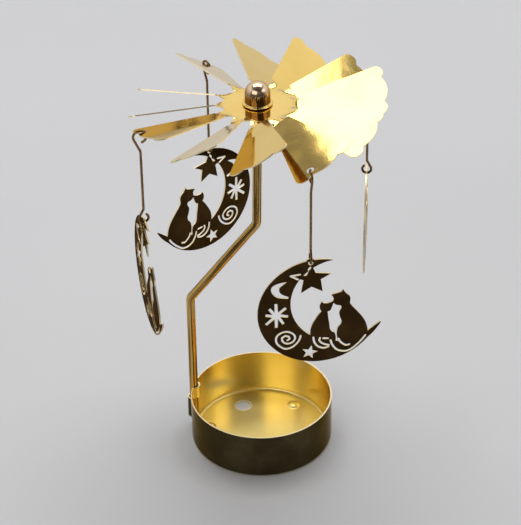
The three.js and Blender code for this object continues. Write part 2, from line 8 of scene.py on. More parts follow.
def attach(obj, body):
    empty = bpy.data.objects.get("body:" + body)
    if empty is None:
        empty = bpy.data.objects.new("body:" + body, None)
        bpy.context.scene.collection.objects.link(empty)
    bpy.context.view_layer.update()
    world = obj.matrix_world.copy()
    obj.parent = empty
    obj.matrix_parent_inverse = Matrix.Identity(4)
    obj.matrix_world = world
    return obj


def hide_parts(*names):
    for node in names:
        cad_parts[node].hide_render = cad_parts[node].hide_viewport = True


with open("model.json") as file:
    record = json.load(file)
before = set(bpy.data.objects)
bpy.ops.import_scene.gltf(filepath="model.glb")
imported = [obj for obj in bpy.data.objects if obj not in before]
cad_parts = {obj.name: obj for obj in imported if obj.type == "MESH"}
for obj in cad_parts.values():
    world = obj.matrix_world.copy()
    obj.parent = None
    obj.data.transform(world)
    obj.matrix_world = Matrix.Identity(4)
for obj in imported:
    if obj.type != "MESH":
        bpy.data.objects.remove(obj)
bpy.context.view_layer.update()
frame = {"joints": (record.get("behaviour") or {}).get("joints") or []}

# The looks of a candle carousel: a tealight cup, a bent post, a rotor of twisted blades under a domed cap,
# and four moon charms that hang from the blades on wire hooks. Shapes are drawn in millimetres and set in
# metres. An ease is the width of a rounded edge of a sheet.

MM = 0.001
FIT = 0.3

# Candle cup
CUP_RADIUS = 24.5
CUP_HEIGHT = 17.0
CUP_WALL = 0.5
CUP_EDGE = 1.5
DRAIN_RADIUS = 2.75
DRAIN_INSET = 8.5
DRAIN_ANGLE = radians(114)
DRAIN_STEPS = 64
NUB_COUNT = 3
NUB_RADIUS = 2.0
NUB_FOOT = NUB_RADIUS * 1.15
NUB_BAND = NUB_RADIUS * 1.3
NUB_ROWS = 12
NUB_HEIGHT = 0.8
NUB_INSET = 6.0
NUB_ANGLE = radians(51.6)
SOCKET_ANGLE = radians(166.5)
UPPER_STRAP = 4.4
LOWER_STRAP = 8.0
STRAP_SLIT = 0.4
STRAP_FILLET = 0.8
STRAP_POINTS = 17
STRAP_COLUMNS = 2 * STRAP_POINTS - 1
FLOOR_RINGS = [3, 7, 11]
CUP_COLUMNS = 320
CUP_EASE = 0.16

# Post
ROD_RADIUS = 1.45
LOWER_BEND_HEIGHT = 54.0
UPPER_BEND_HEIGHT = 87.0
UPPER_BEND_REACH = 0.8
ROD_BEND = 3.5
ROD_CHAMFER = ROD_RADIUS / 6
ROD_SIDES = 48
FOOT_SHARE = 0.8
POINT_LENGTH = 5.0

# Shares of the needle point's length, with the share of the rod's radius left there
POINT_TAPER = [(0.5, 0.6), (0.96, 0.2), (1, 0.1)]

# Rotor
HUB_HEIGHT = 131.5
ROTOR_RADIUS = 41.0
ROTOR_SHEET = 0.4
BLADE_COUNT = 12
BLADE_GAP = 0.6
SCALLOP_DEPTH = 1.2
CORNER_DEPTH = 2.2
NOTCH_SHARE = 0.5
CREST_SHARE = 0.72
NECK_START = 10.7
NECK_LENGTH = 2.7
NECK_WIDTH = 4.4
SHOULDER = 0.15
HUB_ROWS = 5
NECK_ROWS = 9
CREST_STEPS = 3
CORNER_STEPS = 6
SIDE_STEPS = CREST_STEPS + CORNER_STEPS
MIDDLE_STEPS = 12
BLADE_ROW_SHARES = [0, 0.06, 0.14, 0.24, 0.36, 0.48, 0.6, 0.72, 0.85, 0.885, 0.915, 0.945, 0.975, 1]
TWISTS = [radians(a) for a in (20, 28, 33, 34, 32, 27, 29, 17, 32, 30, 27, 22)]
LIFTS = [radians(a) for a in (10, -3, -3, -5, -5, -11, -8, 1, 4, 5, -4, 0)]
BOWS = [-0.15, 0.1, 0.15, 0.1, 0.1, 0.05, 0.05, 0.1, 0.1, 0.1, -0.3, -0.15]
HOOK_INSET = 3.2
HOOK_OFFSET = 4.2
HOOK_HOLE = 1.2
HOOK_ROWS_IN = 6
HOOK_CELLS = 4
TIP_TRIM = 0.1
ROTOR_EASE = 0.07
WELD = 0.01

# Bearing cap
CAP_RADIUS = 4.05
CAP_WALL = 0.45
CAP_SKIRT = 2.9
FLANGE_RADIUS = 4.8
FLANGE_THICKNESS = 0.5
CAP_NECK = 3.4
CLINCH_RADIUS = 4.6
CAP_ROOT = 0.25
CAP_SEGMENTS = 96

# Hanger wires
WIRE_RADIUS = 0.4
WIRE_SIDES = 14
WIRE_END_SHARE = 0.75
LOOP_RADIUS = 2.1
LOOP_TURN = radians(285)
LOOP_NECK = 5.3
EYE_RADIUS = 1.5
EYE_TURN = radians(272)
EYE_NECK = 3.2
WIRE_BEND = 1.2

# Charms
CHARM_RADIUS = 19.5
CHARM_SHEET = 0.5
CHARM_EASE = 0.05
HOLLOW_RADIUS = CHARM_RADIUS * 0.8
HOLLOW_OFFSET = CHARM_RADIUS * 0.382
HOLLOW_ANGLE = radians(28)
HORN_ROUND = 0.35
EAR_ANGLE = radians(98.4)
EAR_OVERHANG = 0.7
EAR_RADIUS = 1.6
EAR_HOLE = 0.8
SLOT_WIDTH = CHARM_RADIUS * 0.034

HANGER_BLADES = {"right": 1, "back": 4, "left": 7, "front": 10}
SECTOR = 2 * pi / BLADE_COUNT
WIDEST = SECTOR / 2 - BLADE_GAP / 2 / ROTOR_RADIUS
NECK_END = NECK_START + NECK_LENGTH
BLADE_ROOT = NECK_END + SHOULDER
CAP_FACE = ROTOR_SHEET / 2 + FIT
FLANGE_TOP = CAP_FACE + FLANGE_THICKNESS
WALL_MIDDLE = CUP_RADIUS - CUP_WALL / 2
STRAP_TOP = CUP_HEIGHT - UPPER_STRAP
LOWER_STRAP_TOP = STRAP_TOP - STRAP_SLIT
LOWER_STRAP_BOTTOM = LOWER_STRAP_TOP - LOWER_STRAP
WINDOW_BOTTOM = LOWER_STRAP_BOTTOM - STRAP_SLIT
STRAP_RADIUS = ROD_RADIUS + FIT + CUP_WALL / 2


# Node trees

def math_node(operation, swapped=False):
    """A method of Value that adds one Math node."""
    def method(value, *others):
        return value.math(operation, *((*others, value) if swapped else (value, *others)))
    return method


class Value:
    """A socket of a node tree. Python's operators on it add Math nodes, so a formula stays a formula."""

    def __init__(self, tree, socket):
        self.tree = tree
        self.socket = socket

    def math(self, operation, *operands):
        return self.tree.add("ShaderNodeMath", {"operation": operation}, dict(enumerate(operands)))

    __add__ = __radd__ = math_node("ADD")
    __sub__ = math_node("SUBTRACT")
    __rsub__ = math_node("SUBTRACT", swapped=True)
    __mul__ = __rmul__ = math_node("MULTIPLY")
    __truediv__ = math_node("DIVIDE")
    __rtruediv__ = math_node("DIVIDE", swapped=True)
    __pow__ = math_node("POWER")
    sin = math_node("SINE")
    cos = math_node("COSINE")
    sign = math_node("SIGN")
    least = math_node("MINIMUM")
    most = math_node("MAXIMUM")

    def between(self, low, high):
        """0 below low, 1 above high and a smooth step between."""
        sockets = {"Value": self, "From Min": low, "From Max": high}
        return self.tree.add("ShaderNodeMapRange", {"interpolation_type": "SMOOTHSTEP"}, sockets)

    def parts(self):
        split = self.tree.add("ShaderNodeSeparateXYZ", {}, {0: self}).socket.node
        return [Value(self.tree, socket) for socket in split.outputs]


def rgba(colour):
    """A colour with its alpha. A value stays as it is."""
    return colour if isinstance(colour, Value) else (*colour, 1)


def empty_tree(owner):
    """The node tree of a material or the world, with nothing in it."""
    owner.use_nodes = True
    owner.node_tree.nodes.clear()
    return owner.node_tree


class Tree:
    """A shader or geometry tree under construction."""

    def __init__(self, tree):
        self.tree = tree

    def add(self, kind, settings, sockets, output=0):
        node = self.tree.nodes.new(kind)
        for name, setting in settings.items():
            if name == "stops":
                self.set_stops(node.color_ramp, setting)
            else:
                setattr(node, name, setting)
        for key, value in sockets.items():
            if isinstance(value, Value):
                self.tree.links.new(value.socket, node.inputs[key])
            else:
                node.inputs[key].default_value = value
        return Value(self, node.outputs[output]) if node.outputs else node

    def set_stops(self, ramp, stops):
        while len(ramp.elements) < len(stops):
            ramp.elements.new(1)
        for element, (place, colour) in zip(ramp.elements, stops):
            element.position = place
            element.color = rgba(colour)

    def mix(self, share, first, second):
        sockets = {0: share, 6: rgba(first), 7: rgba(second)}
        return self.add("ShaderNodeMix", {"data_type": "RGBA"}, sockets, output=2)

    def own(self, name):
        """A number that each point of the geometry keeps."""
        return self.add("GeometryNodeInputNamedAttribute", {"data_type": "FLOAT"}, {"Name": name})

    def stored(self, geometry, name, kind, value):
        """Geometry that keeps a value on its points, for a material to read."""
        sockets = {"Geometry": geometry, "Name": name, "Value": value}
        return self.add("GeometryNodeStoreNamedAttribute", {"data_type": kind}, sockets)

    def millimetres(self):
        place = self.add("ShaderNodeTexCoord", {}, {}, output=3)
        return self.add("ShaderNodeVectorMath", {"operation": "SCALE"}, {0: place, "Scale": 1 / MM})

    def noise(self, place, scale, detail=3, distortion=0):
        sockets = {"Vector": place, "Scale": scale, "Detail": detail, "Distortion": distortion}
        return self.add("ShaderNodeTexNoise", {}, sockets)


# Finishes

# Sheared-edge colours: partly the cut metal's own, partly a painted highlight that makes edges glint
EDGE_GLINT_GOLD = (0.93, 0.76, 0.42)
EDGE_SHINE = (0.96, 0.85, 0.60)
PALE_GOLD = (0.90, 0.645, 0.205)
RICH_GOLD = (0.86, 0.60, 0.175)
WARM_GOLD = (0.70, 0.45, 0.15)
# Painted reflection: the dark streaks on the post rod
ROD_PAINTED_SHADE_STREAK = (0.16, 0.095, 0.03)
SATIN_GOLD = (0.94, 0.76, 0.292)
SATIN_AMBER = (0.91, 0.705, 0.24)
# Painted highlight: the pale ring around the drain hole
DRAIN_PAINTED_HIGHLIGHT_GOLD = (0.97, 0.88, 0.62)
# Painted shade: the cup's outside is darkened to near-black olive to stand in for dark reflections
OUTSIDE_PAINTED_SHADE_OLIVE = (0.088, 0.068, 0.032)
OUTSIDE_PAINTED_SHADE_DARK = (0.056, 0.042, 0.019)
# Painted shade: the wires' colours are darkened to stand in for dark reflections
WIRE_PAINTED_SHADE_LIGHTER = (0.30, 0.19, 0.08)
WIRE_PAINTED_SHADE_BRONZE = (0.17, 0.10, 0.04)
# Painted shade: the charms' colours are darkened to near black to stand in for dark reflections
CHARM_PAINTED_SHADE_BROWN = (0.06, 0.033, 0.011)
CHARM_PAINTED_SHADE_DARK = (0.037, 0.02, 0.007)
# Painted light and shade on the cap: a paler rose for the dome, a dark brown for the skirt
CAP_PAINTED_LIGHT_ROSE = (0.78, 0.56, 0.37)
CAP_PAINTED_SHADE_BROWN = (0.19, 0.10, 0.035)
FLOOR_GREY = (0.60, 0.60, 0.61)
FLOOR_PALE = (0.64, 0.64, 0.65)


def reach(x, y):
    return (x * x + y * y) ** 0.5


class Metal(Tree):
    """A metal's material. Colour, roughness and height come from patterns in millimetres on the piece."""

    def __init__(self, name):
        self.material = bpy.data.materials.new(name)
        super().__init__(empty_tree(self.material))
        self.place = self.millimetres()

    def hairlines(self, along):
        """Fine rolling lines of the sheet, long in one direction."""
        scales = tuple(0.35 if axis == along else 6.0 for axis in range(3))
        drawn = self.add("ShaderNodeVectorMath", {"operation": "MULTIPLY"}, {0: self.place, 1: scales})
        return self.noise(drawn, 1.6, detail=4)

    def round_bar_place(self, around, along):
        """A place on round stock: two numbers around it and one along it."""
        ring = self.add("ShaderNodeAttribute", {"attribute_name": "ring_place"}, {}, output=1)
        length = self.add("ShaderNodeAttribute", {"attribute_name": "bar_length"}, {}, output=2)
        x, y, _ = ring.parts()
        return self.add("ShaderNodeCombineXYZ", {}, {"X": x * around, "Y": y * around, "Z": length * along})

    def scratches(self, turn):
        """Sparse fine scratches that run one way across the piece."""
        sockets = {"Vector": self.place, "Rotation": turn, "Scale": (0.12, 9.0, 0.12)}
        turned = self.add("ShaderNodeMapping", {}, sockets)
        return self.noise(turned, 1.1, detail=1, distortion=0.3).between(0.66, 0.74)

    def finish(self, colour, roughness, height, depth, sheen=(1, 1, 1)):
        """The shader of colour and roughness, with a relief depth millimetres deep. Sheen tints the metal
        seen along its face."""
        bump = self.add("ShaderNodeBump", {}, {"Strength": 1.0, "Distance": depth * MM, "Height": height})
        sockets = {
            "Base Color": colour, "Metallic": 1.0, "Roughness": roughness, "Normal": bump,
            "Specular Tint": rgba(sheen),
        }
        shader = self.add("ShaderNodeBsdfPrincipled", {}, sockets)
        self.add("ShaderNodeOutputMaterial", {}, {"Surface": shader})
        return self.material


def cut_edge_glint_metal():
    """The sheared edges of the sheets, rougher than the faces and paler, partly the cut metal and partly a
    painted highlight that makes them glint.
    """
    metal = Metal("sheared_edge")
    grain = metal.noise(metal.place, 3.0)
    colour = metal.mix(grain, EDGE_GLINT_GOLD, EDGE_SHINE)
    return metal.finish(colour, 0.32 + 0.15 * grain, grain, depth=0.01)


def rotor_metal():
    metal = Metal("rotor_sheet_gold")
    cloud = metal.noise(metal.place, 0.06)
    lines = metal.hairlines(0)
    marks = metal.scratches((0, 0, 0.6)).most(metal.scratches((0, 0, -0.9)))
    colour = metal.mix(cloud.between(0.35, 0.7), PALE_GOLD, RICH_GOLD)
    roughness = 0.05 + 0.05 * cloud + 0.02 * lines + 0.08 * marks
    waves = metal.noise(metal.place, 0.045, detail=2)
    grain = metal.noise(metal.place, 1.6, detail=2)
    height = waves + 0.022 * grain + 0.002 * lines - 0.002 * marks
    return metal.finish(colour, roughness, height, depth=0.25)


def cup_metal():
    """Satin gold inside the cup and glossy gold outside, darkened to olive as painted shade, told apart by
    the distance from its axis.
    """
    metal = Metal("cup_sheet_gold")
    x, y, z = metal.place.parts()
    inside = (1 - reach(x, y).between(WALL_MIDDLE - 0.1, WALL_MIDDLE + 0.1)) * z.between(0.2, 0.3)
    wall = z.between(1.0, 3.0)
    around = y.math("ARCTAN2", y, x)
    drawn = metal.add("ShaderNodeCombineXYZ", {}, {"X": around * 40, "Y": z * 0.1, "Z": 0})
    streaks = wall * metal.noise(drawn, 1.6, detail=4) + (1 - wall) * metal.hairlines(0)
    cloud = metal.noise(metal.place, 0.09)
    grain = metal.noise(metal.place, 5.0, detail=2)
    satin = metal.mix(cloud.between(0.3, 0.7), SATIN_GOLD, SATIN_AMBER)
    drain = on_circle((0, 0), CUP_RADIUS - DRAIN_INSET, DRAIN_ANGLE)
    off_drain = reach(x - drain.x, y - drain.y)
    # Painted highlight: a pale, rougher ring around the drain hole stands in for the bright edge of the
    # hole
    drain_painted_highlight = 1 - off_drain.between(DRAIN_RADIUS + 0.15, DRAIN_RADIUS + 0.5)
    satin = metal.mix(drain_painted_highlight, satin, DRAIN_PAINTED_HIGHLIGHT_GOLD)
    # Painted shade: the outside's colour is darkened to near-black olive to stand in for dark reflections
    outside_painted_shade = metal.mix(cloud.between(0.35, 0.65), OUTSIDE_PAINTED_SHADE_OLIVE, OUTSIDE_PAINTED_SHADE_DARK)
    colour = metal.mix(inside, outside_painted_shade, satin)
    satin_roughness = 0.30 - 0.13 * wall + 0.08 * streaks + 0.05 * grain + 0.15 * drain_painted_highlight
    roughness = inside * satin_roughness + (1 - inside) * (0.05 + 0.06 * cloud)
    height = inside * (0.03 * streaks + 0.02 * grain) + 0.2 * metal.noise(metal.place, 0.05, detail=1)
    return metal.finish(colour, roughness, height, depth=0.12, sheen=(0.75, 0.65, 0.5))


def rod_metal():
    """Drawn wire in warm gold, with painted dark reflections in streaks along it that follow it round its
    bends.
    """
    metal = Metal("rod_gold")
    lines = metal.noise(metal.round_bar_place(2.2, 0.02), 1.0, detail=3)
    fine = metal.noise(metal.round_bar_place(9.0, 0.05), 1.0, detail=3)
    cloud = metal.noise(metal.place, 0.12)
    # Painted reflection: about half the rod is mixed toward a dark streak colour, standing in for dark
    # reflections
    colour = metal.mix(lines.between(0.47, 0.56), WARM_GOLD, ROD_PAINTED_SHADE_STREAK)
    roughness = 0.09 + 0.08 * fine + 0.04 * cloud
    return metal.finish(colour, roughness, fine + 0.5 * lines, depth=0.015, sheen=(0.5, 0.38, 0.24))


def cap_metal():
    """Paler rose gold on the dome and dark brown on the skirt, painted light and shade by height, with a
    flange in the rotor's pale gold.
    """
    metal = Metal("cap_mirror_gold")
    cloud = metal.noise(metal.place, 0.25)
    marks = metal.scratches((0.4, 0.2, 0))
    _, _, z = metal.place.parts()
    flange_top = HUB_HEIGHT + FLANGE_TOP
    # Painted light and shade: the colour turns from dark brown on the skirt to paler rose on the dome with
    # height
    brown_end, rose_start = flange_top + 2.6, flange_top + 6.6
    dome = (z + 1.5 * cloud).between(brown_end, rose_start)
    body = metal.mix(dome, CAP_PAINTED_SHADE_BROWN, CAP_PAINTED_LIGHT_ROSE)
    colour = metal.mix(z.between(flange_top, flange_top + 0.3), PALE_GOLD, body)
    roughness = 0.05 + 0.03 * cloud + 0.12 * dome + 0.08 * marks
    return metal.finish(colour, roughness, cloud - 0.1 * marks, depth=0.02, sheen=(0.8, 0.65, 0.45))


def wire_metal():
    metal = Metal("wire_bronze")
    grain = metal.noise(metal.place, 1.2, detail=4)
    # Painted shade: the wire's dark bronze stands in for dark reflections
    colour = metal.mix(grain.between(0.35, 0.65), WIRE_PAINTED_SHADE_BRONZE, WIRE_PAINTED_SHADE_LIGHTER)
    return metal.finish(colour, 0.16 + 0.14 * grain, grain, depth=0.03, sheen=(0.6, 0.45, 0.3))


def charm_metal():
    metal = Metal("charm_sheet_bronze")
    cloud = metal.noise(metal.place, 0.12)
    lines = metal.hairlines(2)
    marks = metal.scratches((0.3, 0.5, 0.4)).most(metal.scratches((-0.5, 0.9, 0.2)))
    # Painted shade: the charm's near-black colour stands in for dark reflections
    colour = metal.mix(cloud.between(0.35, 0.7), CHARM_PAINTED_SHADE_DARK, CHARM_PAINTED_SHADE_BROWN)
    roughness = 0.10 + 0.06 * cloud + 0.04 * lines + 0.08 * marks
    height = cloud + 0.03 * lines - 0.03 * marks
    return metal.finish(colour, roughness, height, depth=0.06, sheen=(0.2, 0.13, 0.06))


def floor_paint():
    material = bpy.data.materials.new("pale_floor")
    tree = Tree(empty_tree(material))
    cloud = tree.noise(tree.millimetres(), 0.01)
    colour = tree.mix(cloud, FLOOR_GREY, FLOOR_PALE)
    shader = tree.add("ShaderNodeBsdfPrincipled", {}, {"Base Color": colour, "Roughness": 0.55})
    tree.add("ShaderNodeOutputMaterial", {}, {"Surface": shader})
    return material


# The sheared-edge finish, paler partly as a painted highlight
CUT_EDGE_GLINT = cut_edge_glint_metal()


# Drawing helpers

def on_circle(centre, radius, angle):
    return Vector((centre[0] + radius * cos(angle), centre[1] + radius * sin(angle)))


def arc(centre, radius, start, end, steps):
    return [on_circle(centre, radius, start + (end - start) * i / steps) for i in range(steps + 1)]


def circle(centre, radius, steps):
    return arc(centre, radius, 0, 2 * pi, steps)[:-1]


def rounded_line(corners, radius, steps):
    """A line through corners, with each inner corner rounded."""
    points = [Vector(corners[0])]
    for before, corner, after in zip(corners, corners[1:], corners[2:]):
        corner = Vector(corner)
        back = (Vector(before) - corner).normalized()
        ahead = (Vector(after) - corner).normalized()
        half = acos(max(-1, min(1, back.dot(ahead)))) / 2
        centre = corner + (back + ahead).normalized() * radius / sin(half)
        start = corner + back * radius / tan(half) - centre
        end = corner + ahead * radius / tan(half) - centre
        angle = atan2(start.y, start.x)
        sweep = (atan2(end.y, end.x) - angle + pi) % (2 * pi) - pi
        points += arc(centre, radius, angle, angle + sweep, steps)
    return points + [Vector(corners[-1])]


def evenly(points, count):
    """The same open line with its points spread evenly along it."""
    steps = [(b - a).length for a, b in zip(points, points[1:])]
    spread = []
    for i in range(count):
        left = sum(steps) * i / (count - 1)
        k = 0
        while k < len(steps) - 1 and left > steps[k]:
            left -= steps[k]
            k += 1
        spread.append(points[k].lerp(points[k + 1], min(left / steps[k], 1)))
    return spread


def turn_angle(before, after):
    """The angle between two legs of a line, or 0 where one has no length."""
    return abs(before.angle_signed(after, 0)) if before.length and after.length else 0


def curved(points, closed, steps=5, corner=radians(48)):
    """A smooth line through points, left sharp where it turns by more than the corner angle."""
    line = [points[-1], *points, *points[:2]] if closed else [points[0], *points, points[-1]]
    smooth = []
    for before, a, b, after in zip(line, line[1:], line[2:], line[3:]):
        start = b - a if turn_angle(a - before, b - a) > corner else (b - before) / 2
        end = b - a if turn_angle(b - a, after - b) > corner else (after - a) / 2
        for t in [k / steps for k in range(steps)]:
            smooth.append(
                a * (2 * t**3 - 3 * t**2 + 1) + start * (t**3 - 2 * t**2 + t)
                + b * (3 * t**2 - 2 * t**3) + end * (t**3 - t**2)
            )
    return smooth if closed else smooth + [points[-1]]


# Mesh helpers

def new_object(name, data):
    thing = bpy.data.objects.new(name, data)
    bpy.context.scene.collection.objects.link(thing)
    return thing


def mesh_object(name, points, faces, *materials, edges=()):
    mesh = bpy.data.meshes.new(name)
    mesh.from_pydata([tuple(point) for point in points], list(edges), [tuple(face) for face in faces])
    for material in materials:
        mesh.materials.append(material)
    return new_object(name, mesh)


def store(thing, name, values):
    """Keeps a number on each point, for a geometry tree to read."""
    thing.data.attributes.new(name, "FLOAT", "POINT").data.foreach_set("value", values)


def worked_out(thing):
    """Turns the modifiers' result into the object's own plain mesh."""
    bpy.context.view_layer.update()
    graph = bpy.context.evaluated_depsgraph_get()
    mesh = bpy.data.meshes.new_from_object(thing.evaluated_get(graph), depsgraph=graph)
    thing.modifiers.clear()
    old = thing.data
    thing.data = mesh
    bpy.data.meshes.remove(old)


def thicken(thing, thickness):
    sheet = thing.modifiers.new("thickness", "SOLIDIFY")
    sheet.thickness = thickness
    sheet.offset = 0
    sheet.use_even_offset = True
    # The sheet's rims take the sheared-edge finish, paler partly as a painted highlight
    sheet.material_offset_rim = 1


def ease_edges(thing, width, limit=50):
    bevel = thing.modifiers.new("eased_edges", "BEVEL")
    bevel.width = width
    bevel.segments = 2
    bevel.limit_method = "ANGLE"
    bevel.angle_limit = radians(limit)
    bevel.use_clamp_overlap = True
    bevel.harden_normals = True
    # Bevel faces take the sheared-edge finish, whose paler colour is partly a painted highlight
    bevel.material = 1


def combine(thing, other, operation):
    """Cuts other from thing, or joins the two."""
    both = thing.modifiers.new("both", "BOOLEAN")
    both.object = other
    both.operation = operation
    both.solver = "MANIFOLD"
    worked_out(thing)
    bpy.data.objects.remove(other)


def smooth_faces(thing, sharp=40):
    thing.data.shade_smooth()
    thing.data.set_sharp_from_angle(angle=radians(sharp))
    return thing


def area(outline):
    return sum(p.cross(q) for p, q in zip(outline, outline[1:] + outline[:1])) / 2


def prism(name, outline, bottom, top, *materials):
    """A plate with upright sides from an outline drawn either way round."""
    if area(outline) < 0:
        outline = outline[::-1]
    count = len(outline)
    points = [(p[0], p[1], z) for z in (bottom, top) for p in outline]
    sides = [(i, (i + 1) % count, (i + 1) % count + count, i + count) for i in range(count)]
    faces = [tuple(reversed(range(count))), tuple(range(count, 2 * count)), *sides]
    return mesh_object(name, points, faces, *materials)


def turned(name, profile, segments, *materials):
    """A solid turned about Z. The profile runs from the axis out and back to the axis, anticlockwise."""
    rims = profile[1:-1]
    points = [(0, 0, profile[0][1]), (0, 0, profile[-1][1])]
    for k in range(segments):
        angle = 2 * pi * k / segments
        points += [(r * cos(angle), r * sin(angle), z) for r, z in rims]
    faces = []
    for k in range(segments):
        here = 2 + k * len(rims)
        there = 2 + (k + 1) % segments * len(rims)
        faces.append((0, there, here))
        faces.append((1, here + len(rims) - 1, there + len(rims) - 1))
        faces += [(here + i, there + i, there + i + 1, here + i + 1) for i in range(len(rims) - 1)]
    return mesh_object(name, points, faces, *materials)


def settle(thing, body, slot, *nodes):
    """Sets a finished piece in metres on its body, in place of the plain solid."""
    thing.data.transform(Matrix.Scale(MM, 4))
    thing.data.validate()
    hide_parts(*nodes)
    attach(thing, body)


# Geometry trees

def new_tree(name, kinds):
    """A geometry tree with named inputs: the tree, its inputs' values and their identifiers."""
    group = bpy.data.node_groups.new(name, "GeometryNodeTree")
    group.interface.new_socket("Geometry", in_out="OUTPUT", socket_type="NodeSocketGeometry")
    identifiers = {
        label: group.interface.new_socket(label, in_out="INPUT", socket_type="NodeSocket" + kind).identifier
        for label, kind in kinds.items()
    }
    tree = Tree(group)
    sources = group.nodes.new("NodeGroupInput").outputs
    return tree, [Value(tree, socket) for socket in sources][:len(kinds)], identifiers


def end_tree(tree, geometry, finish):
    real = tree.add("GeometryNodeRealizeInstances", {}, {"Geometry": geometry})
    painted = tree.add("GeometryNodeSetMaterial", {}, {"Geometry": real, "Material": finish})
    tree.add("NodeGroupOutput", {}, {"Geometry": painted})


def run_tree(thing, tree, identifiers, settings):
    """Runs a geometry tree on thing, with inputs set by name, and keeps the plain mesh."""
    forming = thing.modifiers.new("forming", "NODES")
    forming.node_group = tree.tree
    for name, value in settings.items():
        forming[identifiers[name]] = value
    worked_out(thing)


# Round bar along a path, for the post and the wires

def bar_tree():
    kinds = {"Path": "Geometry", "Bar radius": "Float", "Sides": "Int", "Finish": "Material"}
    tree, (path, radius, sides, finish), identifiers = new_tree("round_bar", kinds)
    curve = tree.add("GeometryNodeMeshToCurve", {}, {"Mesh": path})
    length = tree.add("GeometryNodeSplineParameter", {}, {}, output=1)
    curve = tree.stored(curve, "bar_length", "FLOAT", length)
    sockets = {"Resolution": sides, "Radius": radius}
    ring = tree.add("GeometryNodeCurvePrimitiveCircle", {"mode": "RADIUS"}, sockets)
    place = tree.add("GeometryNodeInputPosition", {}, {})
    unit = tree.add("ShaderNodeVectorMath", {"operation": "SCALE"}, {0: place, "Scale": 1 / radius})
    ring = tree.stored(ring, "ring_place", "FLOAT_VECTOR", unit)
    share = tree.own("radius_share")
    sockets = {"Curve": curve, "Profile Curve": ring, "Scale": share, "Fill Caps": True}
    end_tree(tree, tree.add("GeometryNodeCurveToMesh", {}, sockets), finish)
    return tree, identifiers


BAR_TREE, BAR_INPUTS = bar_tree()


def round_bar(name, path, radius, sides, finish, shares):
    """Round stock along a path of points in space. Shares make it slimmer, point by point."""
    edges = [(i, i + 1) for i in range(len(path) - 1)]
    thing = mesh_object(name, path, (), finish, edges=edges)
    store(thing, "radius_share", shares)
    run_tree(thing, BAR_TREE, BAR_INPUTS, {"Bar radius": radius, "Sides": sides, "Finish": finish})
    return smooth_faces(thing)


# Candle cup

def strap_line(side, edge_angle):
    """Half of a strap's middle line, from the window's edge to the rod's far side. Side is 1 outwards and
    -1 inwards."""
    reach = WALL_MIDDLE + side * STRAP_FILLET
    gap = STRAP_RADIUS + STRAP_FILLET
    x = (reach**2 - gap**2 + WALL_MIDDLE**2) / (2 * WALL_MIDDLE)
    fillet = Vector((x, sqrt(reach**2 - x**2)))
    wall_angle = atan2(fillet.y, fillet.x)
    rod_angle = atan2(fillet.y, fillet.x - WALL_MIDDLE)
    crown = 0 if side > 0 else pi
    wall = arc((0, 0), WALL_MIDDLE, edge_angle, wall_angle, steps=2)
    bend = arc(fillet, STRAP_FILLET, wall_angle - pi + crown, rod_angle - pi, steps=6)
    around = arc((WALL_MIDDLE, 0), STRAP_RADIUS, rod_angle, crown, steps=10)
    return evenly(wall[:-1] + bend[:-1] + around, STRAP_POINTS)


def strap_point(line, column, height):
    """A column's point on a strap. The line is one half of it, mirrored for the other."""
    point = line[min(column, STRAP_COLUMNS - 1 - column)]
    return (point.x, -point.y if column < STRAP_POINTS else point.y, height)


def nub_rise(x, y):
    """How far a nub lifts the floor at a place."""
    for i in range(NUB_COUNT):
        angle = NUB_ANGLE + 2 * pi * i / NUB_COUNT - SOCKET_ANGLE
        centre = on_circle((0, 0), CUP_RADIUS - NUB_INSET, angle)
        away = hypot(x - centre.x, y - centre.y) / NUB_FOOT
        if away < 1:
            return NUB_HEIGHT * (1 - away**3) ** 1.5
    return 0


def cup_angles(window):
    """The angle of each column: the window's columns first, then the rest of the wall."""
    last = STRAP_POINTS - 1
    side = [window * (last - i) / last for i in range(STRAP_POINTS)]
    rest = [window + (2 * pi - 2 * window) * i / CUP_COLUMNS for i in range(1, CUP_COLUMNS)]
    return [-angle for angle in side] + side[-2::-1] + rest


def cup_rings():
    """Middle line of the sheet from near the floor's centre to the rim, as radius and height."""
    floor = CUP_WALL / 2
    nub = CUP_RADIUS - NUB_INSET
    band = [nub + NUB_BAND * (i / NUB_ROWS - 1) for i in range(2 * NUB_ROWS + 1)]
    rings = [(radius, floor) for radius in [*FLOOR_RINGS, *band]]
    centre = (CUP_RADIUS - CUP_EDGE, CUP_EDGE)
    rings += [tuple(p) for p in arc(centre, CUP_EDGE - floor, -pi / 2, 0, steps=6)]
    rings.append((WALL_MIDDLE, (CUP_EDGE + WINDOW_BOTTOM) / 2))
    levels = [WINDOW_BOTTOM, LOWER_STRAP_BOTTOM, LOWER_STRAP_TOP, STRAP_TOP, CUP_HEIGHT]
    for low, high in zip(levels, levels[1:]):
        rows = 4 if high - low > 1 else 1
        rings += [(WALL_MIDDLE, low + (high - low) * i / rows) for i in range(rows)]
    return rings + [(WALL_MIDDLE, CUP_HEIGHT)]


def cup_ring(angles, outward, inward, radius, height):
    """One ring of the sheet, which follows a strap's line where a strap crosses it."""
    strap = None
    if radius == WALL_MIDDLE and LOWER_STRAP_BOTTOM <= height <= LOWER_STRAP_TOP:
        strap = outward
    if radius == WALL_MIDDLE and height >= STRAP_TOP:
        strap = inward
    ring = []
    for column, angle in enumerate(angles):
        x, y = radius * cos(angle), radius * sin(angle)
        if strap and column < STRAP_COLUMNS:
            ring.append(strap_point(strap, column, height))
        else:
            ring.append((x, y, height + (nub_rise(x, y) if height < CUP_WALL else 0)))
    return ring


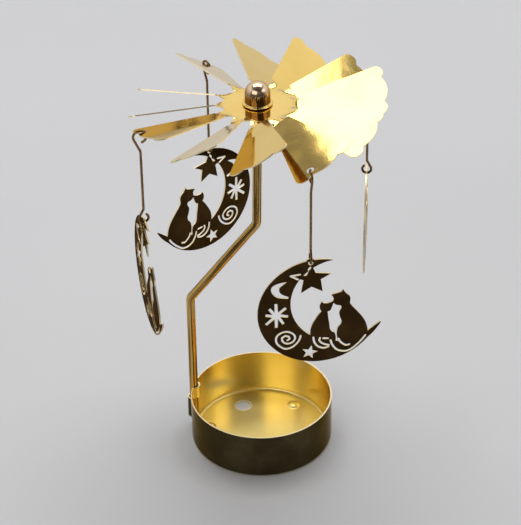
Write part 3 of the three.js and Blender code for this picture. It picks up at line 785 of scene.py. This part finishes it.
def cup_faces(rings, count):
    """The floor's middle, then the bands between rings, left open at the slit below each strap."""
    faces = [(0, 1 + j, 1 + (j + 1) % count) for j in range(count)]
    for i, (_, low) in enumerate(rings[:-1]):
        slit = WINDOW_BOTTOM <= low < LOWER_STRAP_BOTTOM or LOWER_STRAP_TOP <= low < STRAP_TOP
        for j in range(STRAP_COLUMNS - 1 if slit else 0, count):
            here, there = 1 + i * count + j, 1 + i * count + (j + 1) % count
            faces.append((here, here + count, there + count, there))
    return faces


def cup_sheet(finish):
    """The drawn cup, made with its socket on the X axis and turned to its place at the end."""
    window = asin((STRAP_RADIUS + STRAP_FILLET) / WALL_MIDDLE)
    outward, inward = strap_line(1, window), strap_line(-1, window)
    angles, rings = cup_angles(window), cup_rings()
    points = [(0, 0, CUP_WALL / 2)]
    for radius, height in rings:
        points += cup_ring(angles, outward, inward, radius, height)
    cup = mesh_object("cup_sheet", points, cup_faces(rings, len(angles)), finish, CUT_EDGE_GLINT)
    thicken(cup, CUP_WALL)
    worked_out(cup)
    drain = on_circle((0, 0), CUP_RADIUS - DRAIN_INSET, DRAIN_ANGLE - SOCKET_ANGLE)
    cutter = prism("drain", circle(drain, DRAIN_RADIUS, DRAIN_STEPS), -1, 2 * CUP_WALL, CUT_EDGE_GLINT)
    combine(cup, cutter, "DIFFERENCE")
    cup.data.shade_smooth()
    ease_edges(cup, CUP_EASE)
    worked_out(cup)
    cup.data.transform(Matrix.Rotation(SOCKET_ANGLE, 4, "Z"))
    return cup


# Post

def post_rod(finish):
    tip = HUB_HEIGHT + FLANGE_TOP + CAP_SKIRT + CAP_RADIUS - CAP_WALL - FIT
    corners = [
        (WALL_MIDDLE, LOWER_STRAP_BOTTOM + FIT),
        (WALL_MIDDLE, LOWER_BEND_HEIGHT),
        (UPPER_BEND_REACH, UPPER_BEND_HEIGHT),
        (0, tip - POINT_LENGTH),
    ]
    bent = rounded_line(corners, ROD_BEND, steps=14)
    point = [Vector((0, tip - POINT_LENGTH * (1 - place))) for place, _ in POINT_TAPER]
    line = [bent[0], bent[0] + Vector((0, ROD_CHAMFER)), *bent[1:], *point]
    full = [1.0] * (len(line) - 1 - len(POINT_TAPER))
    slim = [FOOT_SHARE, *full, *[share for _, share in POINT_TAPER]]
    rod = round_bar("post_rod", [(p.x, 0, p.y) for p in line], ROD_RADIUS, ROD_SIDES, finish, slim)
    rod.data.transform(Matrix.Rotation(SOCKET_ANGLE, 4, "Z"))
    return rod


# Rotor

def blade_half(along):
    return along * tan(SECTOR / 2) - BLADE_GAP / 2 / cos(SECTOR / 2)


def tip_fall(share):
    """How far a tip falls back: a wide lobe, a notch, and a narrow lobe with a round outer corner."""
    if share < NOTCH_SHARE:
        return SCALLOP_DEPTH * (share / NOTCH_SHARE) ** 2
    if share < CREST_SHARE:
        return SCALLOP_DEPTH * ((CREST_SHARE - share) / (CREST_SHARE - NOTCH_SHARE)) ** 2
    corner = (share - CREST_SHARE) / (1 - CREST_SHARE)
    return CORNER_DEPTH * (1 - sqrt(max(0, 1 - corner**2)))


def blade_shares():
    """A blade's long lines, as shares of the way from its middle line to its sides."""
    side = [NOTCH_SHARE + (CREST_SHARE - NOTCH_SHARE) * i / CREST_STEPS for i in range(1, CREST_STEPS + 1)]
    corner = [sin(pi / 2 * i / CORNER_STEPS) for i in range(1, CORNER_STEPS + 1)]
    side += [CREST_SHARE + (1 - CREST_SHARE) * bend for bend in corner]
    middle = [NOTCH_SHARE * (2 * i / MIDDLE_STEPS - 1) for i in range(MIDDLE_STEPS + 1)]
    return [-share for share in reversed(side)] + middle + side


def tip_point(share):
    return on_circle((0, 0), ROTOR_RADIUS - TIP_TRIM - tip_fall(abs(share)), share * WIDEST)


def hub_rows(across):
    """A sector of the hub from its bore out to the neck and the two slots beside it."""
    corner = Vector((NECK_START, NECK_WIDTH / 2))
    corner_angle = atan2(corner.y, corner.x)
    middle = on_circle((0, 0), corner.length * cos(SECTOR / 2 - corner_angle), SECTOR / 2)
    slot = [corner.lerp(middle, share) for share in (0.35, 0.7, 1)]
    left = [Vector((p.x, -p.y)) for p in reversed(slot)]
    outer = left + [Vector((NECK_START, NECK_WIDTH / 2 * v)) for v in across] + slot
    bore = CAP_NECK + FIT
    return [[(p.normalized() * bore).lerp(p, i / HUB_ROWS) for p in outer] for i in range(HUB_ROWS + 1)]


def blade_rows(across):
    """Rows across the neck and the blade, from beyond the hub out to the tip."""
    places = [NECK_START + NECK_LENGTH * i / NECK_ROWS for i in range(1, NECK_ROWS + 1)]
    neck = [[Vector((x, NECK_WIDTH / 2 * v)) for v in across] for x in places]
    root = [Vector((BLADE_ROOT, blade_half(BLADE_ROOT) * v)) for v in across]
    tip = [tip_point(v) for v in across]
    return neck + [[a.lerp(b, share) for a, b in zip(root, tip)] for share in BLADE_ROW_SHARES]


def grid_faces(rows, width):
    """Faces between rows of points. A row is given by the number of its first point."""
    return [
        (low + j, high + j, high + j + 1, low + j + 1)
        for low, high in zip(rows, rows[1:]) for j in range(width - 1)
    ]


def open_hook_hole(points, faces, rows):
    """Leaves a square out of a blade's grid and joins its edge to a round hole."""
    near, left = len(rows) - HOOK_ROWS_IN, SIDE_STEPS - 1
    cells = range(HOOK_CELLS)
    far, right = near + HOOK_CELLS, left + HOOK_CELLS
    square = {rows[near + i] + left + j for i in cells for j in cells}
    edge = [rows[near] + left + k for k in cells]
    edge += [rows[near + k] + right for k in cells]
    edge += [rows[far] + right - k for k in cells]
    edge += [rows[far - k] + left for k in cells]
    centre = Vector((ROTOR_RADIUS - HOOK_INSET, -HOOK_OFFSET))
    ring, count = len(points), len(edge)
    points = points + [centre + (points[k] - centre).normalized() * HOOK_HOLE for k in edge]
    faces = [face for face in faces if face[0] not in square]
    faces += [(edge[(k + 1) % count], edge[k], ring + k, ring + (k + 1) % count) for k in range(count)]
    return points, faces


def blade_blank(name, finish, hooked):
    """One flat blade along X with its sector of the hub, and the hook's hole if it has one."""
    across = blade_shares()
    hub, blade = hub_rows(across), blade_rows(across)
    points = [p for row in hub + blade for p in row]
    wide, narrow = len(hub[0]), len(across)
    hub_starts = [i * wide for i in range(len(hub))]
    slot_points = (wide - narrow) // 2
    starts = [hub_starts[-1] + slot_points] + [len(hub) * wide + i * narrow for i in range(len(blade))]
    faces = grid_faces(starts, narrow)
    if hooked:
        points, faces = open_hook_hole(points, faces, starts)
    faces = grid_faces(hub_starts, wide) + faces
    used = sorted({k for face in faces for k in face})
    place = {k: i for i, k in enumerate(used)}
    faces = [[place[k] for k in face] for face in faces]
    return mesh_object(name, [(points[k].x, points[k].y, 0) for k in used], faces, finish, CUT_EDGE_GLINT)


def ring_of_blanks(tree, blades, plain, hooked):
    """The two blanks set on their own points and joined."""
    hooks = tree.own("hooked")
    sets = []
    for blank, chosen in ((plain, 1 - hooks), (hooked, hooks)):
        shape = tree.add("GeometryNodeObjectInfo", {}, {"Object": blank}, output=4)
        sockets = {"Points": blades, "Selection": chosen, "Instance": shape}
        sets.append(tree.add("GeometryNodeInstanceOnPoints", {}, sockets))
    joined = tree.add("GeometryNodeJoinGeometry", {}, {0: sets[0]})
    tree.tree.links.new(sets[1].socket, joined.socket.node.inputs[0])
    return tree.add("GeometryNodeRealizeInstances", {}, {"Geometry": joined})


def formed_place(tree, neck_start, neck_length, bow_width):
    """Where a point of a flat blank goes once its blade is twisted, lifted, bowed and turned."""
    x, y, _ = tree.add("GeometryNodeInputPosition", {}, {}).parts()
    share = ((x - neck_start) / neck_length).most(0).least(1)
    twist, lift = tree.own("twist") * share, tree.own("lift") * share
    neck_end = neck_start + neck_length
    neck = x.least(neck_end) - neck_start
    rest = (x - neck_end).most(0)
    bow = tree.own("bow") * share * (y / bow_width) * (y / bow_width)
    up = y * twist.sin() + bow * twist.cos()
    along = neck_start + neck * (lift * 0.5).cos() + rest * lift.cos() - up * lift.sin()
    side = y * twist.cos() - bow * twist.sin()
    rise = neck.most(0) * (lift * 0.5).sin() + rest * lift.sin()
    heading = tree.own("heading")
    sockets = {
        "X": along * heading.cos() - side * heading.sin(),
        "Y": along * heading.sin() + side * heading.cos(),
        "Z": rise + up * lift.cos() * share.sign(),
    }
    return tree.add("ShaderNodeCombineXYZ", {}, sockets)


def rotor_tree():
    """Sets a blank at each point, bends its neck by that point's twist and lift, and welds the hub."""
    kinds = {
        "Blades": "Geometry", "Plain blank": "Object", "Hooked blank": "Object", "Neck start": "Float",
        "Neck length": "Float", "Bow width": "Float", "Weld": "Float", "Finish": "Material",
    }
    tree, values, identifiers = new_tree("blade_ring", kinds)
    blades, plain, hooked, neck_start, neck_length, bow_width, weld, finish = values
    flat = ring_of_blanks(tree, blades, plain, hooked)
    place = formed_place(tree, neck_start, neck_length, bow_width)
    placed = tree.add("GeometryNodeSetPosition", {}, {"Geometry": flat, "Position": place})
    welded = tree.add("GeometryNodeMergeByDistance", {}, {"Geometry": placed, "Distance": weld})
    end_tree(tree, welded, finish)
    return tree, identifiers


def rotor_sheet(finish):
    blanks = [blade_blank("plain_blank", finish, False), blade_blank("hooked_blank", finish, True)]
    rotor = mesh_object("rotor_sheet", [(0, 0, 0)] * BLADE_COUNT, ())
    hooked = [float(blade in HANGER_BLADES.values()) for blade in range(BLADE_COUNT)]
    headings = [SECTOR * blade for blade in range(BLADE_COUNT)]
    columns = {"twist": TWISTS, "lift": LIFTS, "bow": BOWS, "hooked": hooked, "heading": headings}
    for name, values in columns.items():
        store(rotor, name, values)
    settings = {
        "Plain blank": blanks[0], "Hooked blank": blanks[1], "Neck start": NECK_START,
        "Neck length": NECK_LENGTH, "Bow width": blade_half(ROTOR_RADIUS), "Weld": WELD, "Finish": finish,
    }
    run_tree(rotor, *rotor_tree(), settings)
    for blank in blanks:
        bpy.data.objects.remove(blank)
    thicken(rotor, ROTOR_SHEET)
    rotor.data.shade_smooth()
    ease_edges(rotor, ROTOR_EASE)
    worked_out(rotor)
    rotor.data.transform(Matrix.Translation((0, 0, HUB_HEIGHT)))
    return rotor


# Bearing cap

def cap_dome(finish):
    centre = (0, FLANGE_TOP + CAP_SKIRT)
    bore = CAP_RADIUS - CAP_WALL
    neck_bore = CAP_NECK - CAP_WALL
    lip = FLANGE_THICKNESS / 2
    outside = arc(centre, CAP_RADIUS, pi / 2, 0, steps=24)
    inside = arc(centre, bore, 0, pi / 2, steps=12)
    rim = arc((FLANGE_RADIUS - lip, CAP_FACE + lip), lip, pi / 2, -pi / 2, steps=8)
    root = (CAP_RADIUS + CAP_ROOT, FLANGE_TOP + CAP_ROOT)
    fillet = arc(root, CAP_ROOT, pi, 1.5 * pi, steps=4)
    fold = (CLINCH_RADIUS - CAP_WALL / 2, -CAP_FACE - CAP_WALL / 2)
    clinch = arc(fold, CAP_WALL / 2, pi / 2, -pi / 2, steps=6)
    profile = [
        *outside, *fillet, *rim, (CAP_NECK, CAP_FACE), (CAP_NECK, -CAP_FACE), *clinch,
        (neck_bore, -CAP_FACE - CAP_WALL), (neck_bore, CAP_FACE), (bore, FLANGE_TOP), *inside,
    ]
    cap = turned("cap_dome", profile[::-1], CAP_SEGMENTS, finish)
    cap.data.transform(Matrix.Translation((0, 0, HUB_HEIGHT)))
    return smooth_faces(cap, sharp=35)


# Hanger wires

def joint(name):
    """A joint's place in millimetres and its axis."""
    found = next(entry for entry in frame["joints"] if entry["name"] == name)
    return Vector(found["pos_m"]) / MM, Vector(found["axis"])


def touch_angle(away, radius, side):
    """Angle on a circle where a line touches it that comes from straight above or below its centre."""
    return (pi / 2 if away > 0 else -pi / 2) + side * acos(radius / abs(away))


def wire_line(drop):
    """A hanger in its own plane: X outwards, Z up, the loop's centre at the origin."""
    loop_start = touch_angle(-LOOP_NECK, LOOP_RADIUS, 1)
    eye_start = touch_angle(EYE_NECK, EYE_RADIUS, -1)
    loop = arc((0, 0), LOOP_RADIUS, loop_start + LOOP_TURN, loop_start, steps=40)
    ring = arc((0, -drop), EYE_RADIUS, eye_start, eye_start - EYE_TURN, steps=36)
    corners = [loop[-1], (0, -LOOP_NECK), (0, EYE_NECK - drop), ring[0]]
    shank = rounded_line(corners, WIRE_BEND, steps=6)
    return loop + shank[1:-1] + ring


def hanger_wire(side, finish):
    place, _ = joint(f"hanger_{side}_swing")
    eye, outward = joint(f"charm_{side}_rock")
    line = wire_line(place.z - eye.z - EYE_RADIUS)
    path = [place + outward * p.x + Vector((0, 0, p.y)) for p in line]
    shares = [WIRE_END_SHARE, *[1.0] * (len(path) - 2), WIRE_END_SHARE]
    return round_bar(f"hanger_wire_{side}", path, WIRE_RADIUS, WIRE_SIDES, finish, shares)


# Charms. Points are shares of the charm's radius, with the crescent's centre at the origin.

BIG_CAT_SHARES = [
    (0.4, -0.72), (0.33, -0.66), (0.3, -0.54), (0.295, -0.44), (0.31, -0.355), (0.355, -0.295),
    (0.37, -0.23), (0.345, -0.15), (0.33, -0.055), (0.365, 0.035), (0.35, 0.08), (0.275, 0.1),
    (0.23, 0.155), (0.235, 0.235), (0.195, 0.305), (0.355, 0.345), (0.385, 0.395), (0.435, 0.315),
    (0.49, 0.26), (0.51, 0.195), (0.505, 0.115), (0.545, 0.045), (0.615, -0.045), (0.68, -0.13),
    (0.75, -0.25), (0.79, -0.37), (0.8, -0.48), (0.74, -0.6), (0.55, -0.73),
]
SMALL_CAT_SHARES = [
    (-0.14, -0.55), (-0.14, -0.37), (-0.115, -0.265), (-0.07, -0.175), (-0.005, -0.065), (0.04, -0.01),
    (0.015, 0.04), (0.01, 0.105), (0.04, 0.18), (0.075, 0.15), (0.155, 0.145), (0.245, 0.185),
    (0.215, 0.075), (0.185, 0), (0.14, -0.02), (0.15, -0.13), (0.17, -0.26), (0.18, -0.36),
    (0.21, -0.42), (0.255, -0.45), (0.28, -0.54), (0.27, -0.7), (0, -0.66),
]
HORN_SHARES = [
    (0.78, -0.5), (0.9, -0.385), (1.01, -0.3), (1.02, -0.31), (0.97, -0.4), (0.88, -0.52), (0.76, -0.64),
]
BIG_STAR_SHARES = [
    (-0.12, 0.9), (-0.06, 0.75), (0.19, 0.715), (0.025, 0.62), (0.055, 0.385),
    (-0.125, 0.49), (-0.295, 0.38), (-0.255, 0.625), (-0.44, 0.71), (-0.205, 0.71),
]
MOON_SHARES = [
    (-0.52, 0.615), (-0.6, 0.61), (-0.705, 0.58), (-0.765, 0.535), (-0.775, 0.46), (-0.735, 0.375),
    (-0.655, 0.32), (-0.5, 0.29), (-0.495, 0.325), (-0.585, 0.37), (-0.64, 0.43), (-0.64, 0.51),
    (-0.585, 0.565),
]
BURST_CORE_SHARES = (-0.695, -0.025)
BURST_NOTCH_SHARE = 0.07
BURST_RAY_SHARE = 0.023
BURST_TIP_SHARES = [
    (-0.505, -0.055), (-0.54, 0.115), (-0.7, 0.21), (-0.81, 0.12),
    (-0.87, 0), (-0.865, -0.185), (-0.695, -0.26), (-0.58, -0.195),
]
SMALL_STAR_SHARES = (-0.15, -0.805)
SMALL_STAR_POINTS = 5
SMALL_STAR_TIP_SHARE = 0.14
SMALL_STAR_NOTCH_SHARE = 0.06
SMALL_STAR_TILT = radians(76)
SPIRAL_SHARES = [
    (-0.3, -0.46), (-0.32, -0.54), (-0.375, -0.62), (-0.455, -0.68), (-0.55, -0.695), (-0.645, -0.635),
    (-0.7, -0.54), (-0.69, -0.44), (-0.63, -0.38), (-0.535, -0.355), (-0.44, -0.395), (-0.39, -0.47),
    (-0.41, -0.55), (-0.47, -0.59), (-0.54, -0.59), (-0.595, -0.54), (-0.605, -0.47), (-0.55, -0.435),
    (-0.495, -0.455), (-0.48, -0.505), (-0.515, -0.525),
]
TAIL_SHARES = [
    [(-0.09, -0.515), (-0.08, -0.585), (-0.055, -0.65), (0, -0.71), (0.085, -0.74), (0.16, -0.72)],
    [(0.02, -0.535), (0.005, -0.575), (0.035, -0.625), (0.095, -0.665), (0.165, -0.69)],
    [(0.15, -0.555), (0.075, -0.545)],
    [
        (0.195, -0.6), (0.21, -0.66), (0.245, -0.73), (0.3, -0.795), (0.395, -0.835),
        (0.49, -0.83), (0.57, -0.78), (0.665, -0.69), (0.73, -0.61), (0.765, -0.555),
    ],
    [(0.325, -0.58), (0.345, -0.63), (0.395, -0.685), (0.45, -0.72), (0.505, -0.71)],
]
STAR_SLIT_SHARES = [
    [(-0.145, 0.86), (-0.17, 0.82)],
    [(-0.46, 0.722), (-0.31, 0.74)],
    [(-0.46, 0.722), (-0.345, 0.65)],
]


def sized(shares):
    return [Vector(share) * CHARM_RADIUS for share in shares]


def slot_outline(line, width):
    """A slot of even width with round ends along a line."""
    sides = [[], []]
    for i, point in enumerate(line):
        along = (line[min(i + 1, len(line) - 1)] - line[max(i - 1, 0)]).normalized()
        across = Vector((-along.y, along.x)) * width / 2
        sides[0].append(point - across)
        sides[1].append(point + across)
    ends = []
    for end, beyond in ((line[-1], line[-1] - line[-2]), (line[0], line[0] - line[1])):
        heading = atan2(beyond.y, beyond.x)
        ends.append(arc(end, width / 2, heading - pi / 2, heading + pi / 2, steps=8)[1:-1])
    return sides[0] + ends[0] + sides[1][::-1] + ends[1]


def crescent_outline():
    reach = (CHARM_RADIUS**2 + HOLLOW_OFFSET**2 - HOLLOW_RADIUS**2) / (2 * HOLLOW_OFFSET)
    half = acos(reach / CHARM_RADIUS)
    blunt = HORN_ROUND / CHARM_RADIUS
    horn = on_circle((-HOLLOW_OFFSET, 0), CHARM_RADIUS, half)
    inner = atan2(horn.y, horn.x) + HORN_ROUND / HOLLOW_RADIUS
    middle = on_circle((0, 0), HOLLOW_OFFSET, HOLLOW_ANGLE)
    horn_start, horn_end = HOLLOW_ANGLE + half + blunt, HOLLOW_ANGLE + 2 * pi - half - blunt
    outer = arc((0, 0), CHARM_RADIUS, horn_start, horn_end, steps=120)
    return outer + arc(middle, HOLLOW_RADIUS, HOLLOW_ANGLE + 2 * pi - inner, HOLLOW_ANGLE + inner, steps=90)


def star_outline():
    centre = Vector(SMALL_STAR_SHARES) * CHARM_RADIUS
    reaches = (SMALL_STAR_TIP_SHARE, SMALL_STAR_NOTCH_SHARE)
    outline = []
    for i in range(2 * SMALL_STAR_POINTS):
        angle = SMALL_STAR_TILT + pi * i / SMALL_STAR_POINTS
        outline.append(on_circle(centre, reaches[i % 2] * CHARM_RADIUS, angle))
    return outline


def burst_outline():
    centre = Vector(BURST_CORE_SHARES) * CHARM_RADIUS
    step = 2 * pi / len(BURST_TIP_SHARES)
    outline = []
    for i, end in enumerate(sized(BURST_TIP_SHARES)):
        along = (end - centre).normalized()
        across = Vector((-along.y, along.x)) * BURST_RAY_SHARE * CHARM_RADIUS
        outline += [end - across, end + across]
        outline.append(on_circle(centre, BURST_NOTCH_SHARE * CHARM_RADIUS, step * i + step / 2))
    return outline


EAR_CENTRE = on_circle((0, 0), CHARM_RADIUS + EAR_OVERHANG - EAR_RADIUS, EAR_ANGLE)


def charm_plate(finish):
    """The stamped charm, flat, with its hole at the origin."""
    half = CHARM_SHEET / 2
    plates = [
        curved(sized(BIG_CAT_SHARES), True),
        curved(sized(SMALL_CAT_SHARES), True),
        sized(BIG_STAR_SHARES),
        curved(sized(HORN_SHARES), True, steps=3),
        circle(EAR_CENTRE, EAR_RADIUS, 40),
    ]
    lines = [curved(sized(SPIRAL_SHARES), False, steps=4)]
    lines += [curved(sized(line), False, steps=4) for line in TAIL_SHARES]
    lines += [sized(line) for line in STAR_SLIT_SHARES]
    cuts = [slot_outline(line, SLOT_WIDTH) for line in lines]
    cuts += [curved(sized(MOON_SHARES), True), burst_outline(), star_outline()]
    cuts.append(circle(EAR_CENTRE, EAR_HOLE, 28))
    charm = prism("charm_plate", crescent_outline(), -half, half, finish, CUT_EDGE_GLINT)
    for outline in plates:
        combine(charm, prism("plate", outline, -half, half, finish, CUT_EDGE_GLINT), "UNION")
    for outline in cuts:
        combine(charm, prism("cut", outline, -2 * half, 2 * half, finish, CUT_EDGE_GLINT), "DIFFERENCE")
    for face in charm.data.polygons:
        face.material_index = int(abs(face.normal.z) < 0.5)
    charm.data.shade_smooth()
    ease_edges(charm, CHARM_EASE, limit=60)
    worked_out(charm)
    charm.data.transform(Matrix.Translation((-EAR_CENTRE.x, -EAR_CENTRE.y, 0)))
    return charm


def hang_charm(side, mesh):
    eye, outward = joint(f"charm_{side}_rock")
    charm = new_object(f"charm_plate_{side}", mesh.copy())
    across = Vector((-outward.y, outward.x, 0))
    turn = Matrix((across, (0, 0, 1), outward)).transposed().to_4x4()
    lower = Vector((0, 0, WIRE_RADIUS + FIT - EAR_HOLE))
    charm.data.transform(Matrix.Translation(eye + lower) @ turn)
    return charm


# Studio. Places are in metres. The camera's focal length and middle are in pixels of the picture.

CAMERA_PLACE = (0, -0.520, 0.4196)
CAMERA_PITCH = radians(33.695)
CAMERA_ROLL = radians(-0.722)
PICTURE_WIDTH = 521
PICTURE_HEIGHT = 525
PICTURE_MIDDLE = (259.6, 259.8)
FOCAL_LENGTH = 1888.5

# A lamp's place, the point that it faces, its size and its radiance
LAMPS = {
    "ceiling_box": ((-0.001, 0.37, 1.03), (-0.001, 0.37, 0), (1.018, 0.56), 3.8),
    "front_box": ((-0.60, -0.98, 0.82), (0, 0, 0.07), (1.1, 0.70), 1.6),
    "side_box": ((1.03, -0.33, 0.88), (0, 0, 0.07), (0.60, 0.45), 1.2),
}

# The studio's light: height from 0, below, to 1, above, its level and the level of its blue
WALL_LIGHT = [
    (0.0, 0.4, 0.4), (0.5, 0.72, 0.72), (0.56, 0.72, 0.72), (0.75, 0.98, 0.98), (0.785, 0.85, 0.85),
    (0.81, 0.95, 0.95), (0.838, 0.95, 0.95), (0.863, 0.25, 0.26), (1.0, 0.12, 0.13),
]
FRONT_DIMMING = 0.85
FLOOR_HALF = 3.0
FLOOR_DROP = 0.00005


def camera():
    """The view of the reference picture: a long lens that looks down at the cup."""
    pitch, roll = CAMERA_PITCH, CAMERA_ROLL
    ahead = Vector((0, cos(pitch), -sin(pitch)))
    up = Vector((0, sin(pitch), cos(pitch)))
    right = Vector((1, 0, 0))
    right, up = cos(roll) * right + sin(roll) * up, cos(roll) * up - sin(roll) * right
    data = bpy.data.cameras.new("camera")
    data.sensor_fit = "HORIZONTAL"
    data.lens = data.sensor_width * FOCAL_LENGTH / PICTURE_WIDTH
    data.shift_x = (PICTURE_WIDTH / 2 - PICTURE_MIDDLE[0]) / PICTURE_WIDTH
    data.shift_y = (PICTURE_MIDDLE[1] - PICTURE_HEIGHT / 2) / PICTURE_WIDTH
    data.clip_start = 0.01
    view = new_object("camera", data)
    turn = Matrix((right, up, -ahead)).transposed().to_4x4()
    view.matrix_world = Matrix.Translation(CAMERA_PLACE) @ turn
    bpy.context.scene.camera = view


def softbox(name, place, aim, size, radiance):
    """A soft lamp at place that faces the point aim."""
    data = bpy.data.lights.new(name, "AREA")
    data.shape = "RECTANGLE"
    data.size, data.size_y = size
    data.energy = radiance * pi * data.size * data.size_y
    lamp = new_object(name, data)
    lamp.location = place
    lamp.rotation_euler = (Vector(place) - Vector(aim)).to_track_quat("Z", "Y").to_euler()


def studio():
    for name, lamp in LAMPS.items():
        softbox(name, *lamp)
    world = bpy.data.worlds.new("studio")
    bpy.context.scene.world = world
    tree = Tree(empty_tree(world))
    _, depth, rise = tree.add("ShaderNodeTexCoord", {}, {}, output=0).parts()
    front = (0 - depth).between(0.05, 0.6)
    stops = [(place, (level, level, blue)) for place, level, blue in WALL_LIGHT]
    glow = tree.add("ShaderNodeValToRGB", {"stops": stops}, {"Fac": rise * 0.5 + 0.5})
    sockets = {"Color": glow, "Strength": 1 - FRONT_DIMMING * front}
    shader = tree.add("ShaderNodeBackground", {}, sockets)
    tree.add("ShaderNodeOutputWorld", {}, {"Surface": shader})


def floor():
    corners = [(x * FLOOR_HALF, y * FLOOR_HALF, 0) for x, y in ((-1, -1), (1, -1), (1, 1), (-1, 1))]
    plane = mesh_object("pale_floor", corners, [(0, 1, 2, 3)], floor_paint())
    plane.location.z = -FLOOR_DROP


def carousel():
    wire = wire_metal()
    settle(cup_sheet(cup_metal()), "base", "cup", "candle_cup")
    settle(post_rod(rod_metal()), "base", "post", "post")
    settle(rotor_sheet(rotor_metal()), "rotor", "rotor", "rotor")
    settle(cap_dome(cap_metal()), "rotor", "cap", "bearing_cap")
    plate = charm_plate(charm_metal())
    for side in HANGER_BLADES:
        settle(hanger_wire(side, wire), f"hanger_{side}", "wire", f"hanger_{side}")
        settle(hang_charm(side, plate.data), f"charm_{side}", "charm", f"charm_{side}")
    bpy.data.objects.remove(plate)


bpy.context.scene.view_settings.view_transform = "Standard"
carousel()
floor()
studio()
camera()
